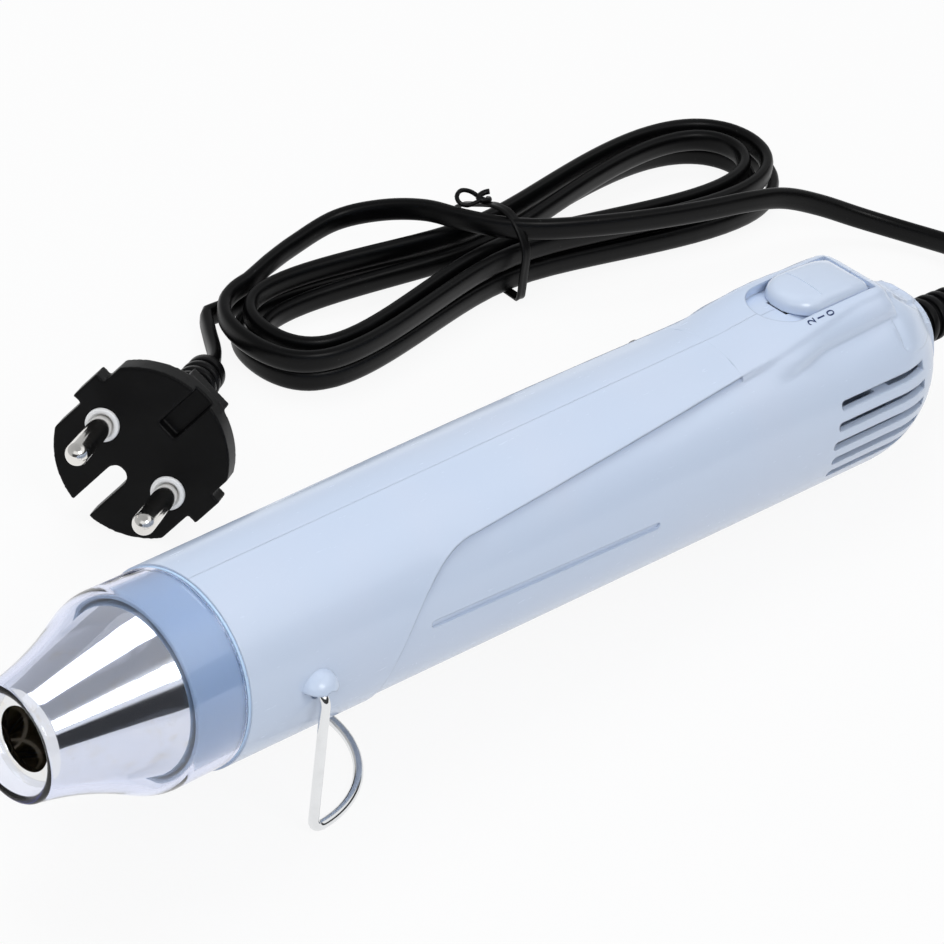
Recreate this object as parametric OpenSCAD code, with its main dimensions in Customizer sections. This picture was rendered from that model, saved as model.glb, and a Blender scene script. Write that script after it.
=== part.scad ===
// Embossing heat tool on its wire stand, with its flat cord in a tied hank and a two-pin plug.
// Tool pieces are drawn along the tool's own axis, u to the rear, v to the far side, w up, from the
// front edge of the housing, and place_tool() leans them onto the stand and the rear rounding.

/* [Housing] */
// Outer radius of the housing at its front edge
body_front_r = 20; // [19.5:0.1:20.5]
// Outer radius of the housing where the rear rounding starts
body_rear_r = 22.4; // [22:0.1:22.8]
// Length of the housing from its front edge to the rear rounding
body_len = 185; // [183:1:190]
// Thickness of the moulded wall
wall = 2.2; // [1.9:0.1:2.4]
// Radius of the rounding at the rear
rear_round_r = 29.5; // [28.5:0.5:31]
// Radius of the collar round the cord outlet
collar_r = 12.3; // [11.5:0.1:13]
// Length of the collar behind the rounding
collar_len = 8; // [7:0.5:10]
// How far the grip relief is drawn in
relief_in = 0.62; // [0.4:0.02:0.7]
// Height of the upper edge of the relief above the axis, at its front round
relief_edge_w = 14.7; // [14:0.1:15.4]
// Rise of that edge for each millimetre to the rear
relief_rise = 0.053; // [0.045:0.001:0.058]
// Radius of the relief's front round
relief_round_r = 25; // [23:0.5:27]
// Distance of the centre of that round behind the front edge
relief_round_u = 60.5; // [59:0.5:63]
// Width of the long groove in the grip
groove_wide = 1.4; // [1:0.1:1.8]
// Depth of the long groove
groove_deep = 0.6; // [0.4:0.1:0.8]
// Length of the long groove
groove_len = 62; // [56:1:66]

/* [Vents] */
// Number of slots on each side
vent_count = 5; // [3:1:5]
// Height of one slot
vent_high = 2; // [1.6:0.1:2.2]
// Distance from slot to slot
vent_pitch = 4.2; // [4:0.1:4.4]
// Length of the longest slot
vent_len = 30; // [26:1:31]

/* [Switch] */
// Height of the switch deck above the axis
deck_top = 25; // [24.6:0.1:25.4]
// Half width of the switch deck
deck_half = 11.6; // [11:0.1:12.4]
// Edge radius of the switch deck
deck_edge_r = 3; // [2.5:0.1:3.4]
// Half width of the button
button_half = 6.8; // [6.4:0.1:7.2]
// Length of the button
button_len = 26; // [25:0.5:26.5]
// Height of the button's dome above the deck
button_proud = 2.4; // [2:0.1:3]
// Travel of the button from 0 to 2
button_travel = 6; // [5:0.5:6]
// Clearance between sliding pieces
slide_gap = 0.5; // [0.4:0.05:0.55]

/* [Heat guard and nozzle] */
// Length of the heat guard in front of the housing
guard_len = 38.7; // [37:0.1:40]
// Length of its cylindrical band
guard_band = 15; // [14:0.5:16]
// Outer radius of the band
guard_band_r = 19.6; // [19.3:0.1:19.8]
// Outer radius of the guard's tip
guard_tip_r = 11.2; // [11:0.1:11.6]
// Wall of the guard
guard_wall = 1.5; // [1.3:0.1:1.6]
// How far the guard's hollow flare is drawn in
guard_flare_in = 1.33; // [1:0.01:1.4]
// Radius of the hot air outlet
outlet_r = 6.2; // [5.5:0.1:6.5]
// Outer radius of the nozzle cone at the outlet
nozzle_tip_r = 9.2; // [9:0.1:9.4]
// Outer radius of the nozzle cone at its root
nozzle_root_r = 15.2; // [15:0.1:15.4]
// Sheet thickness of the nozzle
nozzle_wall = 0.6; // [0.5:0.05:0.6]

/* [Wire stand] */
// Diameter of the stand's wire
wire_d = 2; // [1.8:0.1:2.2]
// Distance of the hinge behind the front edge of the housing
hinge_u = 16.3; // [15.5:0.1:18]
// Height of the hinge above the axis
hinge_w = 0.5; // [0:0.1:1]
// Height of the hinge over the middle of the wire on the table
stand_high = 32; // [31.5:0.1:33]
// Distance of each leg from the middle
stand_half = 22.4; // [22.2:0.1:22.8]
// Radius of the bends in the wire
wire_bend_r = 2.4; // [2.2:0.1:2.8]
// Running clearance of the wire in its holes
hinge_gap = 0.05; // [0.04:0.01:0.08]
// Radius of the hood over each hole
hood_r = 4.4; // [4:0.1:4.6]

/* [Cord] */
// Width of the flat cord
cord_wide = 5.2; // [5:0.1:5.3]
// Thickness of the flat cord
cord_thick = 3.1; // [2.9:0.1:3.2]
// Radius of the cord outlet's bore
outlet_bore_r = 5.1; // [4.8:0.1:5.4]
// Length of the ribbed strain relief behind the collar
relief_len = 28; // [26:1:30]

/* [Plug] */
// Radius of a pin
pin_r = 2.4; // [2:0.1:2.4]
// Length of a pin in front of the plug's face
pin_len = 19; // [18:0.5:19.5]
// Distance from pin to pin
pin_pitch = 19; // [18:0.5:19.5]
// Radius of the plug's rim
rim_r = 18.4; // [18:0.1:18.8]
// Distance of the rim's flat sides from the middle
rim_flat = 15.6; // [15:0.1:16]
// Thickness of the plug's rim
rim_thick = 5.4; // [4.8:0.1:6]

/* [Hidden] */
$fn = 48;

// Gap left between pieces that only lie beside each other
free_gap = 0.3;
// Gap left between pieces that seat in each other
seat_gap = 0.1;
// Overshoot of a cutter past the face that it cuts
over = 1;
// More than the tool's half width, for cutters and half spaces
wide = 60;

// Housing, worked out
arc_r0 = body_rear_r - rear_round_r;
arc_len = sqrt(pow(rear_round_r, 2) - pow(collar_r - arc_r0, 2));
collar_u = body_len + arc_len;
body_end = collar_u + collar_len;
relief_end = body_end + relief_len;
function body_r(u) = body_front_r + (body_rear_r - body_front_r) * u / body_len;

// Stand and tilt: the tool rests on the flat bow of the stand and on its rear rounding
hinge_z = stand_high + wire_d / 2;
lean_u = body_len - hinge_u;
lean_w = hinge_w + arc_r0;
tilt = asin((hinge_z - rear_round_r) / norm([lean_u, lean_w])) - atan2(lean_w, lean_u);
tip_x = -guard_len * cos(tilt) - guard_tip_r * sin(tilt);
tail_r = 4.2;
tail_x = relief_end * cos(tilt) + tail_r * sin(tilt);
tool_x = -(tip_x + tail_x) / 2;
tool_z = rear_round_r + body_len * sin(tilt) + arc_r0 * cos(tilt);
hinge_x = tool_x + hinge_u * cos(tilt) + hinge_w * sin(tilt);

module place_tool() { translate([tool_x, 0, tool_z]) rotate([0, tilt, 0]) children(); }
// A body of revolution drawn as [radius, u], laid along the tool
module lathe() { rotate([0, 90, 0]) rotate_extrude() children(); }
// A flat shape drawn as [u, w], given thickness from v0 to v1
module slab(v0, v1) { translate([0, v1, 0]) rotate([90, 0, 0]) linear_extrude(v1 - v0) children(); }
// A flat shape drawn as [v, w], carried along the tool from u0 to u1
module bar(u0, u1) { translate([u0, 0, 0]) rotate([90, 0, 90]) linear_extrude(u1 - u0) children(); }
// A round rod along u, v or w
module rod_u(r, u0, u1, v = 0, w = 0) { translate([u0, v, w]) rotate([0, 90, 0]) cylinder(r = r, h = u1 - u0); }
module rod_v(r, v0, v1, u = 0, w = 0) { translate([u, v1, w]) rotate([90, 0, 0]) cylinder(r = r, h = v1 - v0); }
module box(low, high) { translate(low) cube(high - low); }
module near_half() { intersection() { children(); box([-wide, -wide, -wide], [3 * wide + body_end, 0, wide]); } }
module far_half() { intersection() { children(); box([-wide, 0, -wide], [3 * wide + body_end, wide, wide]); } }

// A cross section swept along points, as one closed skin of triangles
function unit(v) = v / norm(v);
function heading(path, i) = unit(path[min(i + 1, len(path) - 1)] - path[max(i - 1, 0)]);
function side_of(t) = unit([-t[1], t[0], 0]);
function swept_ring(p, t, shape) =
    let (s = side_of(t), n = cross(t, s)) [for (q = shape) p + q[0] * s + q[1] * n];
module sweep(path, shape) {
    n = len(shape);
    m = len(path);
    points = [for (i = [0 : m - 1]) each swept_ring(path[i], heading(path, i), shape)];
    skin = [for (i = [0 : m - 2], j = [0 : n - 1], half = [0, 1])
        let (a = i * n + j, b = i * n + (j + 1) % n) half == 0 ? [a, a + n, b] : [b, a + n, b + n]];
    front = [for (j = [1 : n - 2]) [0, j, j + 1]];
    back = [for (j = [1 : n - 2]) [(m - 1) * n, (m - 1) * n + j + 1, (m - 1) * n + j]];
    polyhedron(points = points, faces = concat(skin, front, back), convexity = 8);
}
// A smooth curve through points chosen by hand, with a given number of steps from one to the next
function curve_point(a, b, c, d, t) =
    0.5 * (2 * b + (c - a) * t + (2 * a - 5 * b + 4 * c - d) * t * t + (3 * b - a - 3 * c + d) * t * t * t);
function curve(p, steps) = concat([for (i = [1 : len(p) - 3], k = [0 : steps - 1])
    curve_point(p[i - 1], p[i], p[i + 1], p[i + 2], k / steps)], [p[len(p) - 2]]);
function path_len(p) = len(p) < 2 ? 0 : [for (i = 1, s = norm(p[1] - p[0]); i < len(p);
    i = i + 1, s = s + (i < len(p) ? norm(p[i] - p[i - 1]) : 0)) s][len(p) - 2];

// Housing halves
module body_outline(inset = 0) {
    polygon([[0, 0], [body_front_r - inset, 0], [body_rear_r - inset, body_len], [0, body_len]]);
    intersection() {
        translate([arc_r0, body_len]) circle(r = rear_round_r - inset);
        translate([0, body_len - over]) square([body_rear_r - inset - 0.01, rear_round_r + over]);
    }
}
relief_low = -relief_round_r;
// The relief's floor is lowered too, so that its step grows towards its upper edge
relief_drop = relief_in / 2;
module relief_outline() {
    far_u = body_end - relief_round_u;
    translate([relief_round_u, relief_edge_w - relief_round_r]) circle(r = relief_round_r);
    translate([relief_round_u, relief_edge_w])
        polygon([[0, 0], [far_u, far_u * relief_rise], [far_u, relief_low * 2], [0, relief_low * 2]]);
}
module body_form() {
    difference() {
        lathe() body_outline();
        difference() {
            slab(-wide, wide) relief_outline();
            translate([0, 0, -relief_drop]) lathe() body_outline(relief_in);
        }
    }
}
deck_len = 39;
deck_front = body_len - deck_len;
deck_rear = body_len + 3;
deck_tail_r = 24;
module deck_side() {
    polygon([[deck_front, 0], [deck_front, body_r(deck_front) - 0.2], [deck_front + 10, deck_top - 0.8],
        [deck_front + 24, deck_top], [deck_rear, deck_top], [deck_rear, 0]]);
    intersection() {
        translate([deck_rear, deck_top - deck_tail_r]) circle(r = deck_tail_r);
        translate([deck_rear - over, 0]) square([collar_u - deck_rear + over, deck_top]);
    }
}
module deck_section() {
    flat_half = deck_half - deck_edge_r;
    translate([-flat_half, 0]) square([2 * flat_half, deck_top]);
    translate([-deck_half, 0]) square([2 * deck_half, deck_top - deck_edge_r]);
    for (side = [-1, 1]) translate([side * flat_half, deck_top - deck_edge_r]) circle(r = deck_edge_r);
}
module deck() {
    intersection() {
        slab(-deck_half, deck_half) deck_side();
        bar(deck_front, collar_u) deck_section();
        linear_extrude(wide) rounded_end(deck_front, collar_u, deck_half);
    }
}
button_rear = body_len + 1.5;
button_front = button_rear - button_len;
well_front = button_front - button_travel - slide_gap;
well_half = button_half + slide_gap;
well_floor = deck_top - 3;
module rounded_end(front, rear, half) {
    translate([front + half, 0]) circle(r = half);
    translate([front + half, -half]) square([rear - front - half, 2 * half]);
}
module switch_well() {
    translate([0, 0, well_floor]) linear_extrude(wide) rounded_end(well_front, button_rear + slide_gap, well_half);
}
stem_u = button_front + 11.5;
stem_len = 5;
stem_half = 2.2;
module stem_slot() {
    box([stem_u - stem_len / 2 - button_travel - slide_gap, -stem_half - slide_gap, 0],
        [stem_u + stem_len / 2 + slide_gap, stem_half + slide_gap, deck_top]);
}
vent_set_in = 21;
vent_front = body_len - vent_set_in;
module vents() {
    for (i = [0 : vent_count - 1]) {
        w = ((vent_count - 1) / 2 - i) * vent_pitch - 0.4;
        set_back = abs(w) / 4;
        slab(-wide, wide) {
            translate([vent_front + set_back, w]) circle(d = vent_high);
            translate([vent_front + set_back, w - vent_high / 2]) square([vent_len - set_back * 1.5, vent_high]);
        }
    }
}
groove_u = 46.7;
module grooves() {
    for (side = [-1, 1]) {
        depth = body_r(groove_u) - relief_in - groove_deep;
        translate([groove_u, 0, 2.4]) rotate([0, 1.4, 0]) difference() {
            slab(side > 0 ? depth : -wide, side > 0 ? wide : -depth) {
                translate([0, -groove_wide / 2]) square([groove_len, groove_wide]);
                for (u = [0, groove_len]) translate([u, 0]) circle(d = groove_wide);
            }
            rotate([0, -1.4, 0]) translate([-groove_u, 0, -2.4 - relief_drop]) lathe()
                body_outline(relief_in + groove_deep);
        }
    }
}
module hoods() {
    for (side = [-1, 1]) intersection() {
        translate([hinge_u, side * (body_r(hinge_u) - 0.6), hinge_w]) sphere(r = hood_r);
        box([0, -wide, hinge_w + wire_d / 2 + free_gap], [2 * hinge_u, wide, wide]);
    }
}
screw_r = 1.4;
screw_head_r = 2.6;
screw_post_r = 3.2;
screw_front_u = 58;
screw_mid_u = deck_front - 9;
screw_rear_u = body_len + 3;
screw_low = 14;
screw_high = 12.5;
screw_spots = [[screw_front_u, -screw_low], [screw_front_u, screw_high], [screw_mid_u, -screw_low],
    [screw_mid_u, screw_high], [screw_rear_u, -screw_low]];
head_depth = 4;
function far_face(spot) = sqrt(pow(body_r(spot[0]) - relief_in, 2) - pow(spot[1], 2));
module screw_posts() {
    for (spot = screw_spots) rod_v(screw_post_r, -wide, wide, spot[0], spot[1]);
}
rib_thick = 1.6;
switch_u = stem_u - button_travel / 2;
switch_half_len = 11;
switch_half = 5;
switch_low = 8.4;
switch_top = 16.4;
module switch_cradle() {
    for (end = [-1, 1]) {
        face_u = switch_u + end * (switch_half_len + seat_gap);
        box([min(face_u, face_u + end * rib_thick), -wide, switch_low - 2],
            [max(face_u, face_u + end * rib_thick), wide, wide]);
        ledge_u = face_u - end * 3;
        box([min(face_u, ledge_u), -wide, switch_low - 2 - seat_gap],
            [max(face_u, ledge_u), wide, switch_low - seat_gap]);
    }
}
clamp_set_back = 13;
clamp_u = body_len + clamp_set_back;
clamp_half = 3;
clamp_post_w = 6.6;
clamp_post_r = 2.4;
clamp_screw_r = 1;
module cord_saddle() {
    box([clamp_u - clamp_half, -wide, -4], [clamp_u + clamp_half, -cord_thick / 2, 4]);
    for (side = [-1, 1]) rod_v(clamp_post_r, -wide, 0, clamp_u, side * clamp_post_w);
}
module clamp_holes() {
    for (side = [-1, 1]) rod_v(clamp_screw_r + hinge_gap, -6, 10, clamp_u, side * clamp_post_w);
}
module clamp_posts() {
    for (side = [-1, 1]) rod_v(clamp_post_r - free_gap, -over, cord_thick / 2, clamp_u, side * clamp_post_w);
}
module cavity() {
    difference() {
        union() {
            translate([-over, 0, 0]) lathe() square([body_front_r - wall, 2 * over]);
            lathe() body_outline(wall);
        }
        screw_posts();
        switch_cradle();
        cord_saddle();
    }
}
module housing() {
    difference() {
        union() {
            body_form();
            deck();
            hoods();
            lathe() translate([0, collar_u - 6]) square([collar_r, collar_len + 6]);
        }
        cavity();
        switch_well();
        stem_slot();
        vents();
        grooves();
        rod_u(outlet_bore_r, body_len, body_end + over);
        rod_v(wire_d / 2 + hinge_gap, -wide, wide, hinge_u, hinge_w);
        for (side = [-1, 1]) rod_v(1.75, side > 0 ? body_r(hinge_u) - 1 : -wide,
            side > 0 ? wide : 1 - body_r(hinge_u), hinge_u, hinge_w);
        for (spot = screw_spots) {
            rod_v(screw_r + hinge_gap, -8, wide, spot[0], spot[1]);
            rod_v(screw_head_r + seat_gap, far_face(spot) - head_depth, wide, spot[0], spot[1]);
        }
    }
}
module shell_near() {
    color("lightsteelblue") place_tool() difference() {
        union() {
            near_half() housing();
            clamp_posts();
        }
        clamp_holes();
    }
}
module shell_far() { color("lightsteelblue") place_tool() far_half() housing(); }
module housing_screws() {
    color("silver") place_tool() for (spot = screw_spots) {
        seat = far_face(spot) - head_depth;
        difference() {
            rod_v(screw_head_r, seat, seat + 2, spot[0], spot[1]);
            box([spot[0] - 2, seat + 1.2, spot[1] - 0.35], [spot[0] + 2, seat + 3, spot[1] + 0.35]);
        }
        rod_v(screw_r, -7.5, seat, spot[0], spot[1]);
    }
}

// Heat guard and nozzle
flare_mid = [(guard_tip_r + guard_band_r) / 2, -(guard_len + guard_band) / 2];
flare_chord = [guard_band_r - guard_tip_r, guard_len - guard_band];
flare_half = norm(flare_chord) / 2;
guard_flare_r = (pow(flare_half, 2) + pow(guard_flare_in, 2)) / (2 * guard_flare_in);
flare_out = guard_flare_r - guard_flare_in;
flare_centre = flare_mid + flare_out * [flare_chord[1], -flare_chord[0]] / (2 * flare_half);
module guard_outline(inset) {
    difference() {
        translate([0, -guard_len - inset]) square([guard_band_r - inset, guard_len + inset]);
        translate(flare_centre) circle(r = guard_flare_r + inset, $fn = 180);
    }
}
spigot_len = 7;
spigot_r = body_front_r - wall - seat_gap;
module nozzle_guard() {
    color([0.6, 0.72, 0.95, 0.4]) place_tool() lathe() {
        difference() {
            guard_outline(0);
            guard_outline(guard_wall);
        }
        translate([guard_tip_r - guard_wall / 2, -guard_len]) circle(r = guard_wall / 2);
        translate([spigot_r - guard_wall, -guard_wall]) square([guard_wall, spigot_len + guard_wall]);
        translate([spigot_r - guard_wall, -guard_wall]) square([guard_band_r - spigot_r + guard_wall, guard_wall]);
    }
}
nozzle_tip_u = -guard_len + 1.2;
nozzle_root_u = -guard_band + 1;
lip_len = 3;
module nozzle_cone() {
    inner_tip = nozzle_tip_r - nozzle_wall;
    inner_root = nozzle_root_r - nozzle_wall;
    flange_r = spigot_r - guard_wall - seat_gap;
    lip_r = outlet_r + nozzle_wall;
    color("silver") place_tool() lathe() {
        polygon([[outlet_r, nozzle_tip_u], [nozzle_tip_r, nozzle_tip_u], [nozzle_root_r, nozzle_root_u],
            [nozzle_root_r, spigot_len - 2], [flange_r, spigot_len - 2], [flange_r, spigot_len - 1],
            [inner_root, spigot_len - 1], [inner_root, nozzle_root_u], [inner_tip, nozzle_tip_u + nozzle_wall],
            [lip_r, nozzle_tip_u + nozzle_wall], [lip_r, nozzle_tip_u + lip_len], [outlet_r, nozzle_tip_u + lip_len]]);
    }
}

// Heater
tube_r = nozzle_root_r - nozzle_wall - seat_gap;
tube_wall = 0.5;
tube_front = nozzle_root_u + 1;
tube_rear = 44;
sleeve_r = tube_r - tube_wall - seat_gap;
sleeve_wall = 0.5;
former_r = sleeve_r - sleeve_wall - seat_gap;
coil_r = 9.8;
coil_wire_r = 0.45;
coil_turns = 10;
coil_pitch = 3.8;
coil_front = -4;
module tube(r, t, u0, u1) { lathe() translate([r - t, u0]) square([t, u1 - u0]); }
module heater_tube() { color("gainsboro") place_tool() tube(tube_r, tube_wall, tube_front, tube_rear); }
module mica_sleeve() { color("tan") place_tool() tube(sleeve_r, sleeve_wall, tube_front + 1, tube_rear - 1); }
module mica_former() {
    front = tube_front + 2;
    rear = tube_rear - 2;
    color("wheat") place_tool() for (turn = [0, 90]) rotate([turn, 0, 0]) {
        edge = coil_r - coil_wire_r - 2 * seat_gap;
        box([front, -0.4, -edge], [rear, 0.4, edge]);
        for (u = [front, rear - 3]) box([u, -0.4, -former_r], [u + 3, 0.4, former_r]);
    }
}
module heating_coil() {
    steps = 12;
    path = [for (k = [0 : coil_turns * steps]) let (a = k * 360 / steps)
        [coil_front + coil_pitch * k / steps, coil_r * cos(a), coil_r * sin(a)]];
    ring_shape = [for (k = [0 : 4]) coil_wire_r * [cos(k * 72), sin(k * 72)]];
    color("dimgray") place_tool() rotate([0, 90, 0])
        sweep([for (p = path) [p[1], p[2], p[0]]], ring_shape);
}
module thermal_cutout() {
    color("dimgray") place_tool() {
        rod_u(3, tube_rear - 2, tube_rear + 1.4);
        box([tube_rear - 1.6, 3 - 0.3, -1.2], [tube_rear - 1, 6, 1.2]);
        box([tube_rear - 1.6, -6, -1.2], [tube_rear - 1, -3 + 0.3, 1.2]);
    }
}
module spokes(r0, r1, half, u0, u1) {
    for (turn = [45 : 90 : 315]) rotate([turn, 0, 0]) box([u0, -half, r0], [u1, half, r1]);
}
holder_len = 4;
module heater_holder() {
    rim_r = body_r(tube_rear - holder_len) - wall - seat_gap;
    color("ivory") place_tool() {
        tube(rim_r, rim_r - tube_r - seat_gap, tube_rear - holder_len, tube_rear);
        tube(rim_r, rim_r - tube_r + 1, tube_rear, tube_rear + 1.6);
        intersection() {
            spokes(0, tube_r, 1.2, tube_rear + 1.5, tube_rear + 3);
            tube(tube_r, tube_r, tube_rear, tube_rear + 3);
        }
        spokes(tube_r - 1.2, tube_r + 0.5, 1.2, tube_rear, tube_rear + 3);
    }
}

// Fan and motor
fan_u = 72;
fan_r = 16.4;
fan_hub_r = 4.6;
fan_len = 9;
blade_count = 7;
shaft_r = 1;
motor_r = 12;
motor_u = 88;
motor_len = 24;
cap_len = 3.4;
tag_len = 4;
tag_half = 1.2;
tag_thick = 0.6;
tag_spread = 8;
module impeller() {
    color("white") place_tool() difference() {
        union() {
            rod_u(fan_hub_r, fan_u, fan_u + fan_len);
            intersection() {
                for (i = [0 : blade_count - 1]) rotate([i * 360 / blade_count, 0, 0])
                    translate([fan_u + fan_len / 2, 0, fan_hub_r - 1]) rotate([0, 0, 40])
                    translate([-8, -0.6, 0]) cube([16, 1.2, fan_r]);
                rod_u(fan_r, fan_u + 0.5, fan_u + fan_len - 0.5);
            }
        }
        rod_u(shaft_r, fan_u - over, fan_u + fan_len + over);
    }
}
module motor_shaft() { color("silver") place_tool() rod_u(shaft_r, fan_u + 1, motor_u + motor_len + cap_len - 0.6); }
module motor_can() {
    color("lightgray") place_tool() difference() {
        union() {
            rod_u(motor_r, motor_u, motor_u + motor_len);
            rod_u(3, motor_u - 2, motor_u);
        }
        rod_u(shaft_r + hinge_gap, motor_u - 3, motor_u + motor_len + over);
    }
}
module motor_cap() {
    back = motor_u + motor_len;
    color("whitesmoke") place_tool() difference() {
        union() {
            rod_u(motor_r - 0.4, back, back + cap_len);
            for (side = [-1, 1]) translate([back + cap_len, side * tag_spread, 0])
                box([-seat_gap, -tag_half, -tag_thick / 2], [tag_len, tag_half, tag_thick / 2]);
        }
        rod_u(shaft_r + hinge_gap, back - over, back + cap_len - 0.4);
    }
}
module motor_mount() {
    shroud_r = body_r(fan_u - 2) - wall - seat_gap;
    color("ivory") place_tool() {
        tube(shroud_r, 1.2, fan_u - 2, motor_u - 1);
        difference() {
            intersection() {
                spokes(0, shroud_r + 1, 1.6, motor_u - 3.2, motor_u - seat_gap);
                rod_u(shroud_r, motor_u - 4, motor_u);
            }
            rod_u(3 + seat_gap, motor_u - 4, motor_u + over);
        }
        tube(motor_r + 1.3, 1.2, motor_u - 1.4, motor_u + 12);
    }
}

// Rectifier board and its parts
board_u = motor_u + motor_len + cap_len + 1;
board_r = 10.6;
board_thick = 1.2;
module rectifier_board() {
    color("darkgreen") place_tool() difference() {
        rod_u(board_r, board_u, board_u + board_thick);
        for (side = [-1, 1]) translate([board_u, side * tag_spread, 0])
            box([-over, -tag_half - seat_gap, -tag_thick / 2 - seat_gap],
                [board_thick + over, tag_half + seat_gap, tag_thick / 2 + seat_gap]);
    }
}
module diodes() {
    back = board_u + board_thick;
    color("black") place_tool() for (i = [0 : 3])
        rod_v(1.35, -2.6, 2.6, back + 1.35, -8 + i * 3);
}
capacitor_r = 3.4;
capacitor_w = board_r - 1 - capacitor_r;
module capacitor() {
    back = board_u + board_thick;
    color("navy") place_tool() rod_u(capacitor_r, back, back + 11, 0, capacitor_w);
}

// Slide switch
knob_top = 20;
module switch_body() {
    base = 3.6;
    color("black") place_tool() difference() {
        box([switch_u - switch_half_len, -switch_half, switch_low],
            [switch_u + switch_half_len, switch_half, switch_top]);
        box([switch_u - button_travel / 2 - base - slide_gap, -4, switch_low + 2.4],
            [switch_u + button_travel / 2 + base + slide_gap, 4, switch_top - 1.2]);
        box([switch_u - button_travel / 2 - 1.5 - slide_gap, -1.8, switch_low + 2.4],
            [switch_u + button_travel / 2 + 1.5 + slide_gap, 1.8, switch_top + over]);
    }
}
module switch_slider() {
    color("red") place_tool() {
        box([stem_u - 3.6, -3.6, switch_low + 2.7], [stem_u + 3.6, 3.6, switch_top - 1.5]);
        box([stem_u - 1.5, -1.3, switch_top - 2], [stem_u + 1.5, 1.3, knob_top]);
    }
}
terminal_len = 4.6;
terminal_pitch = 5;
module switch_terminals() {
    color("gold") place_tool() for (step = [-1, 0, 1]) translate([switch_u + step * terminal_pitch, 0, 0])
        box([-0.4, -1.2, switch_low - terminal_len], [0.4, 1.2, switch_low]);
}
dome_r = 34;
module button_side() {
    crest_u = button_front + 9;
    intersection() {
        translate([crest_u, deck_top + button_proud - dome_r]) circle(r = dome_r, $fn = 180);
        translate([button_front, well_floor + free_gap]) square([button_len, 12]);
    }
}
module button_section() {
    edge = 2.6;
    top = deck_top + button_proud;
    intersection() {
        union() {
            translate([-button_half, 0]) square([2 * button_half, top - edge]);
            translate([edge - button_half, 0]) square([2 * (button_half - edge), top]);
            for (side = [-1, 1]) translate([side * (button_half - edge), top - edge]) circle(r = edge);
        }
        translate([0, top - 16]) circle(r = 16);
    }
}
module switch_button() {
    color("lightsteelblue") place_tool() {
        intersection() {
            slab(-button_half, button_half) button_side();
            bar(button_front, button_rear) button_section();
            linear_extrude(wide) rounded_end(button_front, button_rear, button_half);
        }
        difference() {
            box([stem_u - stem_len / 2, -stem_half, switch_top + 0.6],
                [stem_u + stem_len / 2, stem_half, well_floor + 1]);
            box([stem_u - 1.5 - seat_gap, -1.3 - seat_gap, switch_top],
                [stem_u + 1.5 + seat_gap, 1.3 + seat_gap, knob_top + seat_gap]);
        }
    }
}

// Inner leads and the cord clamp
lead_r = 0.8;
lead_ring = [for (k = [0 : 5]) lead_r * [cos(k * 60), sin(k * 60)]];
module inner_lead(points) { sweep(curve(concat([2 * points[0] - points[1]], points,
    [2 * points[len(points) - 1] - points[len(points) - 2]]), 2), lead_ring); }
lead_out = 4;
module inner_leads() {
    low = switch_low - terminal_len - lead_r;
    board_back = board_u + board_thick + lead_r + seat_gap;
    way = switch_u - 3 - board_back;
    color("brown") place_tool() {
        inner_lead([[switch_u - 3, 0, low], [switch_u - 8, -1, low - 2], [board_back + 0.66 * way, -3, -1],
            [board_back + 0.35 * way, -5, -4], [board_back + lead_out, -7, -6], [board_back - lead_r, -7, -6]]);
        inner_lead([[switch_u + 3, 0, low], [switch_u + 10, 0, low - 1], [clamp_u - 12, 0, 2.4],
            [clamp_u - lead_out, 0, 1.2]]);
        inner_lead([[board_back - lead_r, 7, -6], [board_back + lead_out, 7, -6], [board_back + 0.35 * way, 5, -7],
            [switch_u - 10, 2, -7], [clamp_u - 20, 0, -5], [clamp_u - 12, 0, -2.4], [clamp_u - lead_out, 0, -1.2]]);
        bar(clamp_u - lead_out, collar_u - 1) cord_face();
    }
}
module cord_face() {
    round_r = cord_thick / 2;
    square([cord_thick, cord_wide - cord_thick], center = true);
    for (side = [-1, 1]) translate([0, side * (cord_wide / 2 - round_r)]) circle(r = round_r - 0.01);
}
module cord_clamp() {
    color("white") place_tool() difference() {
        slab(cord_thick / 2 + 0.01, cord_thick / 2 + 2.2) {
            translate([clamp_u - clamp_half, -clamp_post_w]) square([2 * clamp_half, 2 * clamp_post_w]);
            for (side = [-1, 1]) translate([clamp_u, side * clamp_post_w]) circle(r = clamp_half);
        }
        for (side = [-1, 1]) rod_v(clamp_screw_r + hinge_gap, 0, 10, clamp_u, side * clamp_post_w);
    }
}
module clamp_screws() {
    face = cord_thick / 2 + 2.2;
    color("silver") place_tool() for (side = [-1, 1]) {
        rod_v(clamp_screw_r, -5, face, clamp_u, side * clamp_post_w);
        rod_v(2, face, face + 1.4, clamp_u, side * clamp_post_w);
    }
}
flange_r = 7;
flange_thick = 2;
rib_step = 3.4;
rib_wide = 1.9;
module strain_relief() {
    neck_r = outlet_bore_r - seat_gap;
    ribs = floor((relief_len - 3) / rib_step);
    color("black") place_tool() lathe() {
        translate([0, collar_u - 1]) square([neck_r, body_end - collar_u + 1.01]);
        translate([0, collar_u - flange_thick / 2]) square([flange_r, flange_thick]);
        polygon([[0, body_end], [neck_r + 0.2, body_end], [neck_r - 0.4, body_end + 2],
            [tail_r - 0.8, relief_end], [0, relief_end]]);
        for (i = [0 : ribs - 1]) {
            u = body_end + 1.6 + i * rib_step;
            r = neck_r + 0.4 + (tail_r - neck_r - 0.4) * i / ribs;
            translate([0, u]) square([r, rib_wide]);
        }
        translate([0, relief_end - 2]) square([tail_r, 2]);
    }
}

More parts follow.
